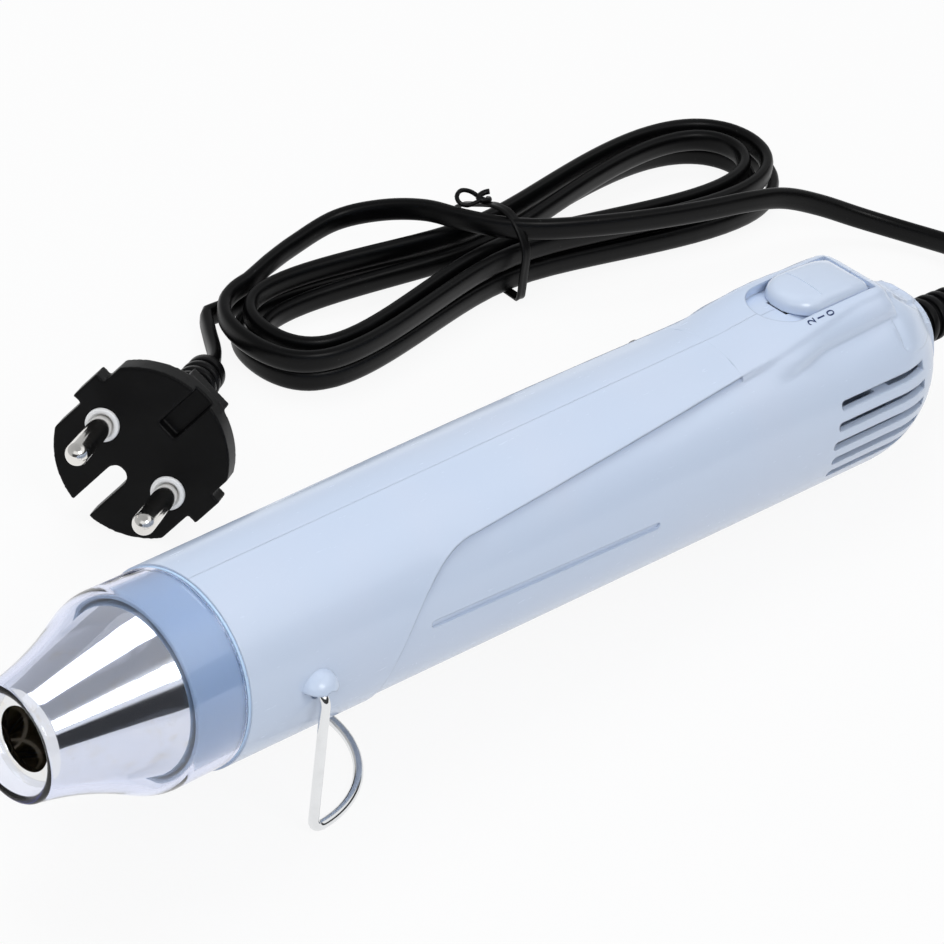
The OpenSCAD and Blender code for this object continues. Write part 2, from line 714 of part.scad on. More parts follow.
// Wire stand
module wire_bend() { rotate_extrude(angle = 90) translate([wire_bend_r, 0]) circle(d = wire_d); }
module stand_leg() {
    r = wire_d / 2;
    foot_z = r + wire_bend_r;
    translate([0, stand_half, foot_z]) cylinder(r = r, h = hinge_z - foot_z - wire_bend_r);
    translate([wire_bend_r, stand_half, foot_z]) rotate([90, 0, 0]) rotate([0, 0, 180]) wire_bend();
    translate([0, stand_half - wire_bend_r, hinge_z - wire_bend_r]) rotate([90, 0, 90]) wire_bend();
    rod_v(r, body_front_r - wall - 1.6, stand_half - wire_bend_r, 0, hinge_z);
}
module wire_stand() {
    color("silver") translate([hinge_x, 0, 0]) {
        stand_leg();
        mirror([0, 1, 0]) stand_leg();
        translate([wire_bend_r, 0, wire_d / 2]) rotate([0, 0, -90])
            rotate_extrude(angle = 180) translate([stand_half, 0]) circle(d = wire_d);
    }
}

// Cord: a lead from the tool, a hank of four loops in two layers, and a short lead into the plug
cord_eight = [for (p = [[0.5, 0.25], [0.5, -0.25], [0.3, -0.45], [0, -0.5], [-0.3, -0.45], [-0.5, -0.25],
    [-0.5, 0.25], [0, 0.5]]) [p[0] * cord_thick, p[1] * cord_wide]];
cord_six = [for (p = [[0.5, 0.28], [0.5, -0.28], [0, -0.5], [-0.5, -0.28], [-0.5, 0.28], [0, 0.5]])
    [p[0] * cord_thick, p[1] * cord_wide]];
hank_turns = 4;
hank_start = 135;
hank_climb = 1.861;
hank_climb_half = 0.2;
hank_centre = [83, 89.5];
hank_angle = -4;
hank_half_len = 78.5;
hank_fullness = 0.16;
hank_waist = 9.4;
hank_waist_shift = -8;
hank_lobe = 28.5;
hank_lobe_bias = 0.06;
lane_end_step = 5.5;
lane_waist_step = 4;
lane_lobe_step = 3.4;
hank_low = cord_wide / 2 + 0.2;
layer_step = cord_wide + 0.7;
waist_lift = 1.5;
function lane_of(t) = t < hank_climb ? t : 2 * hank_climb - t;
function fade(x) = let (c = max(0, min(1, x))) c * c * (3 - 2 * c);
function lobe_spread(c) = sqrt(c * c + 0.04) - 0.2;
function layer_z(t) = hank_low + layer_step * (1 - fade((t - hank_climb + hank_climb_half) / (2 * hank_climb_half)));
function hank_point(t) =
    let (a = hank_start + 360 * t, l = lane_of(t), c = cos(a), s = sin(a),
        half = (hank_waist - lane_waist_step * l)
            + (hank_lobe - lane_lobe_step * l) * (1 + hank_lobe_bias * c) * lobe_spread(c),
        x = (hank_half_len - lane_end_step * l) * c * (1 + hank_fullness * s * s) + hank_waist_shift * s * s,
        y = half * s)
    [hank_centre[0] + x * cos(hank_angle) - y * sin(hank_angle),
        hank_centre[1] + x * sin(hank_angle) + y * cos(hank_angle), layer_z(t) + waist_lift * pow(s, 4)];
hank_steps = 24;
hank_loops = [for (k = [0 : hank_turns * hank_steps]) hank_point(k / hank_steps)];
hank_in = hank_loops[0] + cord_wide * unit(hank_loops[0] - hank_loops[1]);
hank_last = hank_loops[len(hank_loops) - 1];
hank_out = hank_last + cord_wide * unit(hank_last - hank_loops[len(hank_loops) - 2]);
hank_path = concat([hank_in], hank_loops, [hank_out]);
lead_exit = [tool_x + relief_end * cos(tilt), 0, tool_z - relief_end * sin(tilt)];
lead_dir = [cos(tilt), 0, -sin(tilt)];
lead_route = [[152, 1, 16.5], [160, 5, 13.5], [165, 12, 10], [167, 21, 7], [166.5, 31, 5], [163, 41, 4.6],
    [157, 49, 6.2], [149, 55, 9.6], [140, 58.5, 13], [130, 60.5, 14.9], [118, 63.8, 15.3], [104, 68.5, 15.7],
    [91, 73.5, 16.4], [80, 79, 16.9], [73, 85, 17], [68, 92.5, 17], [64.5, 101, 16.4], [59, 109.5, 14],
    [50.5, 115, 11.6], [38, 115, 9.8]];
lead_path = concat([lead_exit], curve(concat([lead_exit, lead_exit + cord_wide * lead_dir], lead_route,
    [hank_in + 0.6 * cord_wide * unit(hank_in - hank_loops[0]), hank_in]), 2), [hank_in]);

// Plug
plug_place = [-49.4, 69.3, 16.7];
plug_heading = -149.6;
plug_pitch = 12.9;
plug_roll = -126.7;
boot_from = 26;
boot_len = 26;
boot_r = 4.9;
rim_shift = -1.6;
module place_plug() {
    translate(plug_place) rotate([0, 0, plug_heading]) rotate([0, 90 - plug_pitch, 0]) rotate([0, 0, plug_roll])
        children();
}
plug_dir = [cos(plug_pitch) * cos(plug_heading), cos(plug_pitch) * sin(plug_heading), sin(plug_pitch)];
boot_end = plug_place - (boot_from + boot_len) * plug_dir;
plug_route = [[2.6, 101.4, 3.2], [7, 107.8, 2.9]];
plug_path = concat([boot_end], curve(concat([boot_end, boot_end - cord_wide * plug_dir], plug_route,
    [hank_out + 0.6 * cord_wide * unit(hank_out - hank_last), hank_out]), 2), [hank_out]);
module cord_lead() { color("black") sweep(lead_path, cord_eight); }
module cord_hank() { color("black") sweep(hank_path, cord_six); }
module plug_lead() { color("black") sweep(plug_path, cord_eight); }
tie_wide = 2.6;
tie_thick = 0.9;
tie_u = hank_waist_shift;
tie_top = 17 + cord_wide / 2 + free_gap;
module tie_outline(grow) {
    low = 0.1 + tie_thick - grow;
    half = hank_waist + cord_thick / 2 + lane_waist_step * 0.14 + free_gap + grow;
    translate([-half, low]) square([2 * half, tie_top + grow - low]);
}
module cord_tie() {
    color("black") translate([hank_centre[0], hank_centre[1], 0]) rotate([0, 0, hank_angle])
        translate([tie_u - tie_wide / 2, 0, 0]) bar(0, tie_wide) difference() {
            tie_outline(tie_thick);
            tie_outline(0);
        }
}
slot_wide = 4.6;
slot_end = 6;
tab_out = 2.2;
tab_wide = 7;
tab_shift = -3.2;
module plug_face() {
    difference() {
        intersection() {
            translate([0, rim_shift]) circle(r = rim_r);
            translate([-rim_flat, -2 * rim_r]) square([2 * rim_flat, 4 * rim_r]);
        }
        translate([0, slot_end]) circle(d = slot_wide);
        translate([-slot_wide / 2, slot_end]) square([slot_wide, 2 * rim_r]);
    }
    for (side = [-1, 1]) translate([side * (rim_flat + tab_out / 2 - 0.5), tab_shift])
        square([tab_out + 1, tab_wide], center = true);
}
hub_r = 7.2;
collar_out_r = 3.3;
collar_seat = 0.8;
collar_proud = 0.6;
pin_root_r = pin_r - 0.2;
pin_seat = 7.8;
pin_free = collar_proud + free_gap;
module plug_body() {
    color("black") place_plug() difference() {
        union() {
            translate([0, 0, -rim_thick]) linear_extrude(rim_thick) plug_face();
            translate([0, 0, -boot_from]) cylinder(r1 = hub_r - 0.8, r2 = hub_r + 1.2, h = boot_from - rim_thick);
            translate([0, -3, -12]) cylinder(r1 = hub_r, r2 = 12, h = 12 - rim_thick);
            translate([-5, -rim_r - 1, -9]) cube([10, 14, 6]);
        }
        for (side = [-1, 1]) translate([side * pin_pitch / 2, 0, -pin_seat - seat_gap])
            cylinder(r = pin_root_r + hinge_gap, h = pin_seat + over);
        for (side = [-1, 1]) translate([side * pin_pitch / 2, 0, -collar_seat])
            cylinder(r = collar_out_r + hinge_gap, h = collar_seat + over);
        translate([-slot_wide / 2, -rim_r * 2, -2.4]) cube([slot_wide, 2 * rim_r - 9.4, 4]);
        translate([-slot_wide / 2, slot_end, -30]) cube([slot_wide, 2 * rim_r, 40]);
    }
}
module plug_pins() {
    color("silver") place_plug() for (side = [-1, 1]) translate([side * pin_pitch / 2, 0, 0]) {
        translate([0, 0, -pin_seat]) cylinder(r = pin_root_r, h = pin_seat + pin_free);
        translate([0, 0, pin_free]) cylinder(r = pin_r, h = pin_len - pin_r - pin_free);
        translate([0, 0, pin_len - pin_r]) sphere(r = pin_r);
    }
}
module plug_collars() {
    color("white") place_plug() for (side = [-1, 1]) translate([side * pin_pitch / 2, 0, -collar_seat]) difference() {
        cylinder(r = collar_out_r, h = collar_seat + collar_proud);
        translate([0, 0, -over]) cylinder(r = pin_root_r + hinge_gap, h = collar_seat + collar_proud + 2 * over);
    }
}
module plug_boot() {
    boot_ribs = 6;
    color("black") place_plug() translate([0, 0, -boot_from]) mirror([0, 0, 1]) {
        cylinder(r1 = boot_r - 0.2, r2 = boot_r - 1.4, h = boot_len);
        for (i = [0 : boot_ribs - 1]) translate([0, 0, 1.5 + i * 3.6])
            cylinder(r = boot_r + 0.2 - i * 0.12, h = 2);
        translate([0, 0, boot_len - 3]) cylinder(r = boot_r - 0.6, h = 3);
    }
}

// The hank's least gap to itself, between outlines of the cord that are not neighbours along it
function flat_gap(a, b) = let (d = a - b) norm([norm([d[0], d[1]]) / cord_thick, d[2] / cord_wide]);
fine_path = [for (k = [0 : hank_turns * 96]) hank_point(k / 96)];
least_gap = (min([for (i = [0 : 2 : len(fine_path) - 1], j = [i + 30 : 1 : len(fine_path) - 1])
    flat_gap(fine_path[i], fine_path[j])]) - 1) * cord_thick;
echo(hank_least_gap_mm = least_gap, lead = path_len(lead_path), hank = path_len(hank_path),
    plug_side = path_len(plug_path), tilt = tilt, origin = [tool_x, tool_z]);

shell_near();
shell_far();
nozzle_guard();
nozzle_cone();
heater_tube();
mica_sleeve();
mica_former();
heating_coil();
thermal_cutout();
heater_holder();
motor_mount();
motor_can();
motor_cap();
motor_shaft();
impeller();
rectifier_board();
diodes();
capacitor();
switch_body();
switch_slider();
switch_terminals();
switch_button();
inner_leads();
cord_clamp();
clamp_screws();
housing_screws();
strain_relief();
wire_stand();
cord_lead();
cord_hank();
cord_tie();
plug_lead();
plug_body();
plug_pins();
plug_collars();
plug_boot();
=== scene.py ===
"""Embossing heat tool on its wire stand, with its flat cord in a tied hank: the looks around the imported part."""
import math

import bpy
from mathutils import Matrix, Vector


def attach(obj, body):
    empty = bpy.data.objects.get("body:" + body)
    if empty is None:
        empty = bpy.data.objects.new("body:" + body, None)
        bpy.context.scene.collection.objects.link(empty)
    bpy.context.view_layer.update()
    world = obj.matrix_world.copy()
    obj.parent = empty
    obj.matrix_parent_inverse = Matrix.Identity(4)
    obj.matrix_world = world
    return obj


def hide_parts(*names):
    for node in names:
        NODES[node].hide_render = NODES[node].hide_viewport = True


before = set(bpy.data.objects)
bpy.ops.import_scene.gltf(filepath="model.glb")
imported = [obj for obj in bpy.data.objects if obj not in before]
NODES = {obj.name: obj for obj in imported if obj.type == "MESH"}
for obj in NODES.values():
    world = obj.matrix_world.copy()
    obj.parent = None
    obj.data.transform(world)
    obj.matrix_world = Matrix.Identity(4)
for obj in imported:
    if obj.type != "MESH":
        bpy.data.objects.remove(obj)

bl_info = {
    "name": "Embossing Heat Tool",
    "version": (1, 0, 0),
    "blender": (4, 5, 0),
    "location": "View3D > Sidebar > Heat Tool",
    "description": "Builds the visible pieces, finishes and studio of an embossing heat tool",
    "category": "Add Mesh",
}

MM = 0.001
LINE_STEP = 0.0015  # from point to point along the cord, in metres

# Places that the part's source works out, in metres
TILT = math.radians(3.42831)
TOOL = Matrix.Translation((-0.10187, 0, 0.0334756)) @ Matrix.Rotation(TILT, 4, "Y")
TURNED = TOOL @ Matrix.Rotation(math.radians(90), 4, "Y")
HINGE = Vector((-0.085569, 0, 0.033))
PLUG = (Matrix.Translation((-0.0494, 0.0693, 0.0167)) @ Matrix.Rotation(math.radians(-149.6), 4, "Z")
        @ Matrix.Rotation(math.radians(90 - 12.9), 4, "Y") @ Matrix.Rotation(math.radians(-126.7), 4, "Z"))
RELIEF_END = 0.243192
OUTLET_END = 0.2111


# Selecting and placing

def select_none():
    if bpy.context.object is not None and bpy.context.object.mode != "OBJECT":
        bpy.ops.object.mode_set(mode="OBJECT")
    bpy.ops.object.select_all(action="DESELECT")


def select_only(piece):
    select_none()
    piece.select_set(True)
    bpy.context.view_layer.objects.active = piece


def edit_all(piece):
    """Opens a piece for editing, with all of it selected."""
    select_only(piece)
    bpy.ops.object.mode_set(mode="EDIT")
    bpy.ops.mesh.select_all(action="SELECT")


def link_mesh(name, vertices, faces):
    """A new piece from its points and faces."""
    mesh = bpy.data.meshes.new(name)
    mesh.from_pydata(vertices, [], faces)
    piece = bpy.data.objects.new(name, mesh)
    bpy.context.scene.collection.objects.link(piece)
    return piece


def polar(radius, degrees):
    """A point at an angle, in the unit of the radius."""
    a = math.radians(degrees)
    return radius * math.cos(a), radius * math.sin(a)


def place_mesh(piece, place):
    """Puts a piece where it belongs, with its object at the origin and its place in its mesh."""
    select_only(piece)
    bpy.ops.object.transform_apply(location=True, rotation=True, scale=True)
    piece.data.transform(place)
    piece.data.update()
    return piece


def smooth(piece, degrees=35):
    select_only(piece)
    bpy.ops.object.shade_smooth_by_angle(angle=math.radians(degrees))
    return piece


def apply_modifier(piece, kind, **settings):
    """Adds a modifier to a piece and applies it."""
    select_only(piece)
    modifier = piece.modifiers.new(kind.title(), kind)
    for key, value in settings.items():
        setattr(modifier, key, value)
    bpy.ops.object.modifier_apply(modifier=modifier.name)
    return piece


def close_up(piece):
    """Merges doubles and turns every face outwards."""
    edit_all(piece)
    bpy.ops.mesh.remove_doubles(threshold=2e-7)
    bpy.ops.mesh.normals_make_consistent(inside=False)
    bpy.ops.object.mode_set(mode="OBJECT")
    return piece


def join(name, pieces):
    select_none()
    for piece in pieces:
        piece.select_set(True)
    bpy.context.view_layer.objects.active = pieces[0]
    bpy.ops.object.join()
    pieces[0].name = name
    return pieces[0]


def turn(name, rings, place=TURNED, sides=96, tube=False):
    """A turned piece: one circle, extruded and resized from ring to ring. A ring is (radius, height), in mm.
    A tube's last ring is its first one again, so that its wall closes on itself."""
    radius, height = rings[0][0] * MM, rings[0][1] * MM
    select_none()
    bpy.ops.mesh.primitive_circle_add(
        vertices=sides, radius=radius, fill_type="NOTHING" if tube else "NGON", location=(0, 0, height))
    piece = bpy.context.object
    piece.name = name
    bpy.ops.object.transform_apply(location=True, rotation=True, scale=True)
    bpy.ops.object.mode_set(mode="EDIT")
    bpy.ops.mesh.select_all(action="SELECT")
    for next_radius, next_height in rings[1:]:
        next_radius, next_height = next_radius * MM, next_height * MM
        bpy.ops.mesh.extrude_region_move(TRANSFORM_OT_translate={"value": (0, 0, next_height - height)})
        grow = next_radius / radius
        if abs(grow - 1) > 1e-6:
            bpy.ops.transform.resize(value=(grow, grow, 1), center_override=(0, 0, next_height))
        radius, height = next_radius, next_height
    bpy.ops.object.mode_set(mode="OBJECT")
    close_up(piece)
    return place_mesh(piece, place)


def block(name, low, high, place, edge=0.0, segments=3):
    """A block with rounded edges, between two corners in mm."""
    low, high = Vector(low) * MM, Vector(high) * MM
    select_none()
    bpy.ops.mesh.primitive_cube_add(size=1, location=(low + high) / 2, scale=high - low)
    piece = bpy.context.object
    piece.name = name
    bpy.ops.object.transform_apply(location=True, rotation=True, scale=True)
    if edge:
        bpy.ops.object.mode_set(mode="EDIT")
        bpy.ops.mesh.select_all(action="SELECT")
        bpy.ops.mesh.bevel(offset=edge * MM, segments=segments, affect="EDGES")
        bpy.ops.object.mode_set(mode="OBJECT")
    return place_mesh(piece, place)


def copy_of(node, name):
    """A copy of a CAD node with its loose triangles joined up."""
    select_none()
    piece = NODES[node].copy()
    piece.data = NODES[node].data.copy()
    for key in list(piece.keys()):
        del piece[key]
    piece.parent = None
    piece.matrix_world = Matrix.Identity(4)
    piece.name = name
    bpy.context.scene.collection.objects.link(piece)
    piece.hide_render = piece.hide_viewport = False
    piece.data.materials.clear()
    edit_all(piece)
    bpy.ops.mesh.remove_doubles(threshold=1e-6)
    bpy.ops.object.mode_set(mode="OBJECT")
    if piece.data.has_custom_normals:
        bpy.ops.mesh.customdata_custom_splitnormals_clear()
    return piece


def loft(name, sections, place, ends=True):
    """A skin through closed sections that have the same number of points, in mm."""
    n = len(sections[0])
    vertices = [Vector(p) * MM for section in sections for p in section]
    faces = [(i * n + j, i * n + (j + 1) % n, (i + 1) * n + (j + 1) % n, (i + 1) * n + j)
             for i in range(len(sections) - 1) for j in range(n)]
    if ends:
        faces += [tuple(reversed(range(n))), tuple(range((len(sections) - 1) * n, len(sections) * n))]
    piece = link_mesh(name, vertices, faces)
    close_up(piece)
    return place_mesh(piece, place)


def carve(piece, cutter, operation="DIFFERENCE"):
    """Cuts a piece with another one, which is used up."""
    apply_modifier(piece, "BOOLEAN", operation=operation, object=cutter, solver="EXACT")
    bpy.data.objects.remove(cutter)
    if not piece.data.polygons:
        raise RuntimeError(f"nothing is left of {piece.name}")
    return piece


def soften(node, name, voxel, rounds, limit=190000):
    """A copy of a CAD node whose moulded edges are rounded by a fine remesh and some smoothing."""
    piece = copy_of(node, name)
    apply_modifier(piece, "REMESH", mode="VOXEL", voxel_size=voxel * MM, adaptivity=0)
    apply_modifier(piece, "SMOOTH", factor=0.5, iterations=rounds)
    triangles = sum(len(face.vertices) - 2 for face in piece.data.polygons)
    if triangles > limit:
        apply_modifier(piece, "DECIMATE", ratio=limit / triangles, use_collapse_triangulate=True)
    return smooth(piece, 60)


# Sweeps: the cord, the tie and other long thin pieces follow a list of points

def smooth_line(points, steps):
    """A smooth curve through given points, as the part's source makes it. The end points only steer it."""
    line = []
    for a, b, c, d in zip(points, points[1:], points[2:], points[3:]):
        for k in range(steps):
            t = k / steps
            line.append(0.5 * (2 * b + (c - a) * t + (2 * a - 5 * b + 4 * c - d) * t * t
                               + (3 * b - a - 3 * c + d) * t * t * t))
    return line + [points[-2]]


def evenly(points, step):
    """The same line with points an even step apart."""
    lengths = [0.0]
    for a, b in zip(points, points[1:]):
        lengths.append(lengths[-1] + (b - a).length)
    count = max(2, round(lengths[-1] / step))
    line, i = [], 0
    for k in range(count + 1):
        want = lengths[-1] * k / count
        while i < len(points) - 2 and lengths[i + 1] < want:
            i += 1
        share = (want - lengths[i]) / max(lengths[i + 1] - lengths[i], 1e-12)
        line.append(points[i].lerp(points[i + 1], min(max(share, 0), 1)))
    return line


def sweep(name, line, section, loop=False, upright=True, taper=None):
    """A closed skin around a line. The section's first number lies level and across the line."""
    count, around = len(line), len(section)
    vertices, faces, uvs = [], [], []
    side = Vector((0, 1, 0)) if abs((line[1] - line[0]).normalized().y) < 0.7 else Vector((0, 0, 1))
    for i, point in enumerate(line):
        after = line[(i + 1) % count] if loop else line[min(i + 1, count - 1)]
        before = line[i - 1] if loop else line[max(i - 1, 0)]
        ahead = (after - before).normalized()
        if upright:
            side = Vector((-ahead.y, ahead.x, 0)).normalized()
        else:
            side = (side - ahead * side.dot(ahead)).normalized()
        up = ahead.cross(side)
        grow = taper(i / (count - 1)) if taper else 1.0
        vertices += [point + (side * x + up * y) * grow for x, y in section]
    rows = count if loop else count - 1
    for i in range(rows):
        for j in range(around):
            a, b = i * around + j, i * around + (j + 1) % around
            c, d = ((i + 1) % count) * around + (j + 1) % around, ((i + 1) % count) * around + j
            faces.append((a, d, c, b))
            uvs += [(i, j), (i + 1, j), (i + 1, j + 1), (i, j + 1)]
    if not loop:
        faces += [tuple(range(around)), tuple((count - 1) * around + j for j in reversed(range(around)))]
        uvs += [(0, j) for j in range(around)] + [(count, j) for j in range(around)]
    piece = link_mesh(name, vertices, faces)
    layer = piece.data.uv_layers.new(name="along")
    for corner, (i, j) in zip(layer.data, uvs):
        corner.uv = (i * LINE_STEP, j / around)
    edit_all(piece)
    bpy.ops.mesh.normals_make_consistent(inside=False)
    bpy.ops.object.mode_set(mode="OBJECT")
    return smooth(piece, 50)


# Finishes

class Expr:
    """A socket whose arithmetic adds the Math nodes for it."""

    def __init__(self, finish, socket):
        self.finish = finish
        self.socket = socket

    def math(self, operation, *values):
        return self.finish.node("ShaderNodeMath", {"operation": operation}, dict(enumerate(values)))

    def __add__(self, other):
        return self.math("ADD", self, other)

    def __radd__(self, other):
        return self.math("ADD", other, self)

    def __sub__(self, other):
        return self.math("SUBTRACT", self, other)

    def __rsub__(self, other):
        return self.math("SUBTRACT", other, self)

    def __mul__(self, other):
        return self.math("MULTIPLY", self, other)

    def __rmul__(self, other):
        return self.math("MULTIPLY", other, self)

    def __truediv__(self, other):
        return self.math("DIVIDE", self, other)

    def __pow__(self, other):
        return self.math("POWER", self, other)

    def above(self, low, high):
        """0 below low, 1 above high, and a smooth step between them."""
        return self.finish.node("ShaderNodeMapRange", {"interpolation_type": "SMOOTHSTEP"},
                                {"Value": self, "From Min": low, "From Max": high})


class Nodes:
    """The nodes of one material or of the sky."""

    def __init__(self, tree):
        self.tree = tree

    def node(self, kind, settings=None, sockets=None, out=0):
        """Any node: its type, its settings, the values or links of its sockets, and which output is read."""
        made = self.tree.nodes.new(kind)
        for key, value in (settings or {}).items():
            setattr(made, key, value)
        for key, value in (sockets or {}).items():
            self.feed(made.inputs[key], value)
        return Expr(self, made.outputs[out])

    def feed(self, socket, value):
        if isinstance(value, Expr):
            self.tree.links.new(value.socket, socket)
        elif isinstance(value, (tuple, list)) and len(value) == 3 and socket.type == "RGBA":
            socket.default_value = (*value, 1)
        else:
            socket.default_value = value

    def blend(self, factor, first, second):
        return self.node("ShaderNodeMix", {"data_type": "RGBA"}, {0: factor, 6: first, 7: second}, out=2)


class Finish(Nodes):
    """A material around one Principled shader. Patterns are in metres, on Object coordinates."""

    def __init__(self, name, **constants):
        self.material = bpy.data.materials.new(name)
        self.material.use_nodes = True
        super().__init__(self.material.node_tree)
        self.shader = self.tree.nodes["Principled BSDF"]
        for key, value in constants.items():
            self.shader.inputs[key.replace("_", " ")].default_value = value
        self.where = self.node("ShaderNodeTexCoord", out="Object")
        self.heights = []

    def round_edges(self, radius):
        """Rounds hard edges in the light by that many mm. It comes before any bump."""
        self.heights.append(self.node("ShaderNodeBevel", {"samples": 6}, {"Radius": radius * MM}))
        self.feed(self.shader.inputs["Normal"], self.heights[-1])

    def stretched(self, scale, turn=(0, 0, 0), centre=(0, 0, 0)):
        return self.node("ShaderNodeMapping", {"vector_type": "POINT"}, {
            "Vector": self.where, "Scale": scale, "Rotation": turn, "Location": centre})

    def noise(self, size, detail=2.0, rough=0.5, where=None):
        """Noise from 0 to 1, whose blotches are about that many mm across."""
        return self.node("ShaderNodeTexNoise", None, {
            "Vector": where or self.where, "Scale": 1000 / size, "Detail": detail, "Roughness": rough})

    def colour(self, value):
        self.feed(self.shader.inputs["Base Color"], value)

    def rough(self, value):
        self.feed(self.shader.inputs["Roughness"], value)

    def bump(self, height, depth, strength=1.0):
        """Raises the surface by height, from 0 to 1, times depth in mm. Later calls add to earlier ones."""
        sockets = {"Height": height, "Distance": depth * MM, "Strength": strength}
        if self.heights:
            sockets["Normal"] = self.heights[-1]
        self.heights.append(self.node("ShaderNodeBump", None, sockets, out="Normal"))
        self.feed(self.shader.inputs["Normal"], self.heights[-1])


def moulded_plastic(name, colour, rough=0.3, peel=0.004, grain=0.0, mottle=0.05, **constants):
    """Moulded plastic: a faint drift of colour, orange peel from the mould, fine grain and rubbed patches."""
    f = Finish(name, **constants)
    drift = f.noise(38, 1.0)
    fine = f.noise(0.35, 3.0)
    peel_noise = f.noise(2.6, 2.0)
    rubbed = f.noise(9, 4.0, 0.65).above(0.52, 0.72)
    lighter = tuple(min(1.0, c * (1 + mottle) + mottle * 0.01) for c in colour)
    darker = tuple(c * (1 - mottle) for c in colour)
    f.colour(f.blend(drift.above(0.3, 0.7), darker, lighter))
    f.rough(rough + rubbed * (0.22 * rough) + fine * (0.16 * rough) - 0.08 * rough)
    f.bump(peel_noise, peel)
    if grain:
        f.bump(fine, grain)
    return f.material


def bare_metal(name, colour, rough=0.2, lines=(1, 1, 1), turn=(0, 0, 0), depth=0.0015, tarnish=0.06, **constants):
    """Metal with drawn or brushed lines, a little tarnish and smudges."""
    f = Finish(name, Metallic=1.0, **constants)
    drawn = f.noise(0.5, 3.0, 0.6, f.stretched(lines, turn))
    smudge = f.noise(6, 3.0, 0.6)
    f.colour(f.blend(smudge.above(0.45, 0.75), colour, tuple(c * (1 - tarnish) for c in colour)))
    f.rough(rough + smudge.above(0.5, 0.8) * (0.5 * rough) + drawn * (0.3 * rough) - 0.15 * rough)
    f.bump(drawn, depth)
    return f.material


def housing_plastic(colour):
    """The housing: glossy pale blue, with orange peel, fine specks of dust and faint scuffs along the grip."""
    f = Finish("housing_plastic", IOR=1.5, Coat_Weight=0.12, Coat_Roughness=0.06)
    drift = f.noise(60, 1.0)
    warm = f.noise(24, 2.0)
    peel = f.noise(3.2, 2.0)
    fine = f.noise(0.5, 2.0)
    scuffs = f.noise(0.9, 4.0, 0.7, f.stretched((0.16, 1, 1), (0, -TILT, 0))).above(0.66, 0.74)
    specks = f.noise(0.7, 1.0, 0.5).above(0.76, 0.79)
    base = f.blend(drift.above(0.3, 0.7), tuple(c * k for c, k in zip(colour, (0.965, 0.98, 1.0))), colour)
    base = f.blend(warm.above(0.4, 0.75) * 0.5, base, tuple(c * k for c, k in zip(colour, (1.03, 1.0, 0.995))))
    base = f.blend(specks * 0.12, base, tuple(c * 0.6 for c in colour))
    f.colour(base)
    f.rough(0.25 + scuffs * 0.16 + fine * 0.04 + specks * 0.1 - 0.02)
    f.round_edges(0.45)
    f.bump(peel, 0.004)
    f.bump(fine, 0.0006)
    return f.material


def clear_guard_plastic(colour):
    """The heat guard: clear blue plastic, with flow lines from the mould and fine scratches."""
    f = Finish("clear_guard_plastic", Transmission_Weight=1.0, IOR=1.47)
    flow = f.noise(5, 3.0, 0.5, f.stretched((0.35, 1, 1), (0, -TILT, 0)))
    scratches = f.noise(0.25, 2.0, 0.5, f.stretched((0.1, 1, 1), (0.2, 0, 0.4))).above(0.7, 0.76)
    f.colour(f.blend(flow.above(0.35, 0.7), (1, 1, 1), (0.975, 0.985, 1.0)))
    f.rough(0.01 + flow * 0.015 + scratches * 0.05)
    f.bump(flow, 0.01)
    tint = f.node("ShaderNodeVolumeAbsorption", None, {"Color": colour, "Density": 120})
    f.feed(f.tree.nodes["Material Output"].inputs["Volume"], tint)
    return f.material


def chrome(name, colour=(0.83, 0.84, 0.85), rough=0.05, heat=0.0):
    """Bright plating, with the spun sheet's faint rings and, near the outlet, the straw colour that heat leaves."""
    f = Finish(name, Metallic=1.0)
    axis = f.node("ShaderNodeSeparateXYZ", None, {"Vector": f.stretched((1, 1, 1), (0, -TILT, 0))}, out="X")
    rings = f.node("ShaderNodeTexNoise", {"noise_dimensions": "1D"}, {"W": axis, "Scale": 1800, "Detail": 3.0})
    ripple = f.noise(14, 1.0)
    smudge = f.noise(5, 4.0, 0.6).above(0.5, 0.75)
    straw = (0.72, 0.62, 0.42)
    f.colour(f.blend(smudge * 0.25 + heat * ripple, colour, straw if heat else tuple(c * 0.9 for c in colour)))
    f.rough(rough + smudge * 0.05 + rings * 0.03)
    f.bump(ripple, 0.03)
    f.bump(rings, 0.0008)
    return f.material


def cord_sheath(colour):
    """The cord: black PVC with fine drawn lines along it, dust and a waxy bloom in patches."""
    f = Finish("cord_sheath", IOR=1.48, Specular_IOR_Level=0.16)
    along = f.node("ShaderNodeUVMap", {"uv_map": "along"}, out="UV")
    drawn = f.node("ShaderNodeTexNoise", None, {
        "Vector": f.node("ShaderNodeMapping", None, {"Vector": along, "Scale": (0.02, 1, 1)}),
        "Scale": 26, "Detail": 3.0, "Roughness": 0.6})
    bloom = f.noise(13, 3.0, 0.6).above(0.45, 0.8)
    dust = f.noise(0.8, 2.0).above(0.72, 0.78)
    base = f.blend(bloom * 0.5, colour, tuple(c * 1.9 + 0.001 for c in colour))
    f.colour(f.blend(dust * 0.1, base, (0.2, 0.2, 0.2)))
    f.rough(0.34 + bloom * 0.1 + drawn * 0.08 - 0.04)
    f.bump(drawn, 0.012)
    f.bump(f.noise(0.4, 2.0), 0.003)
    return f.material


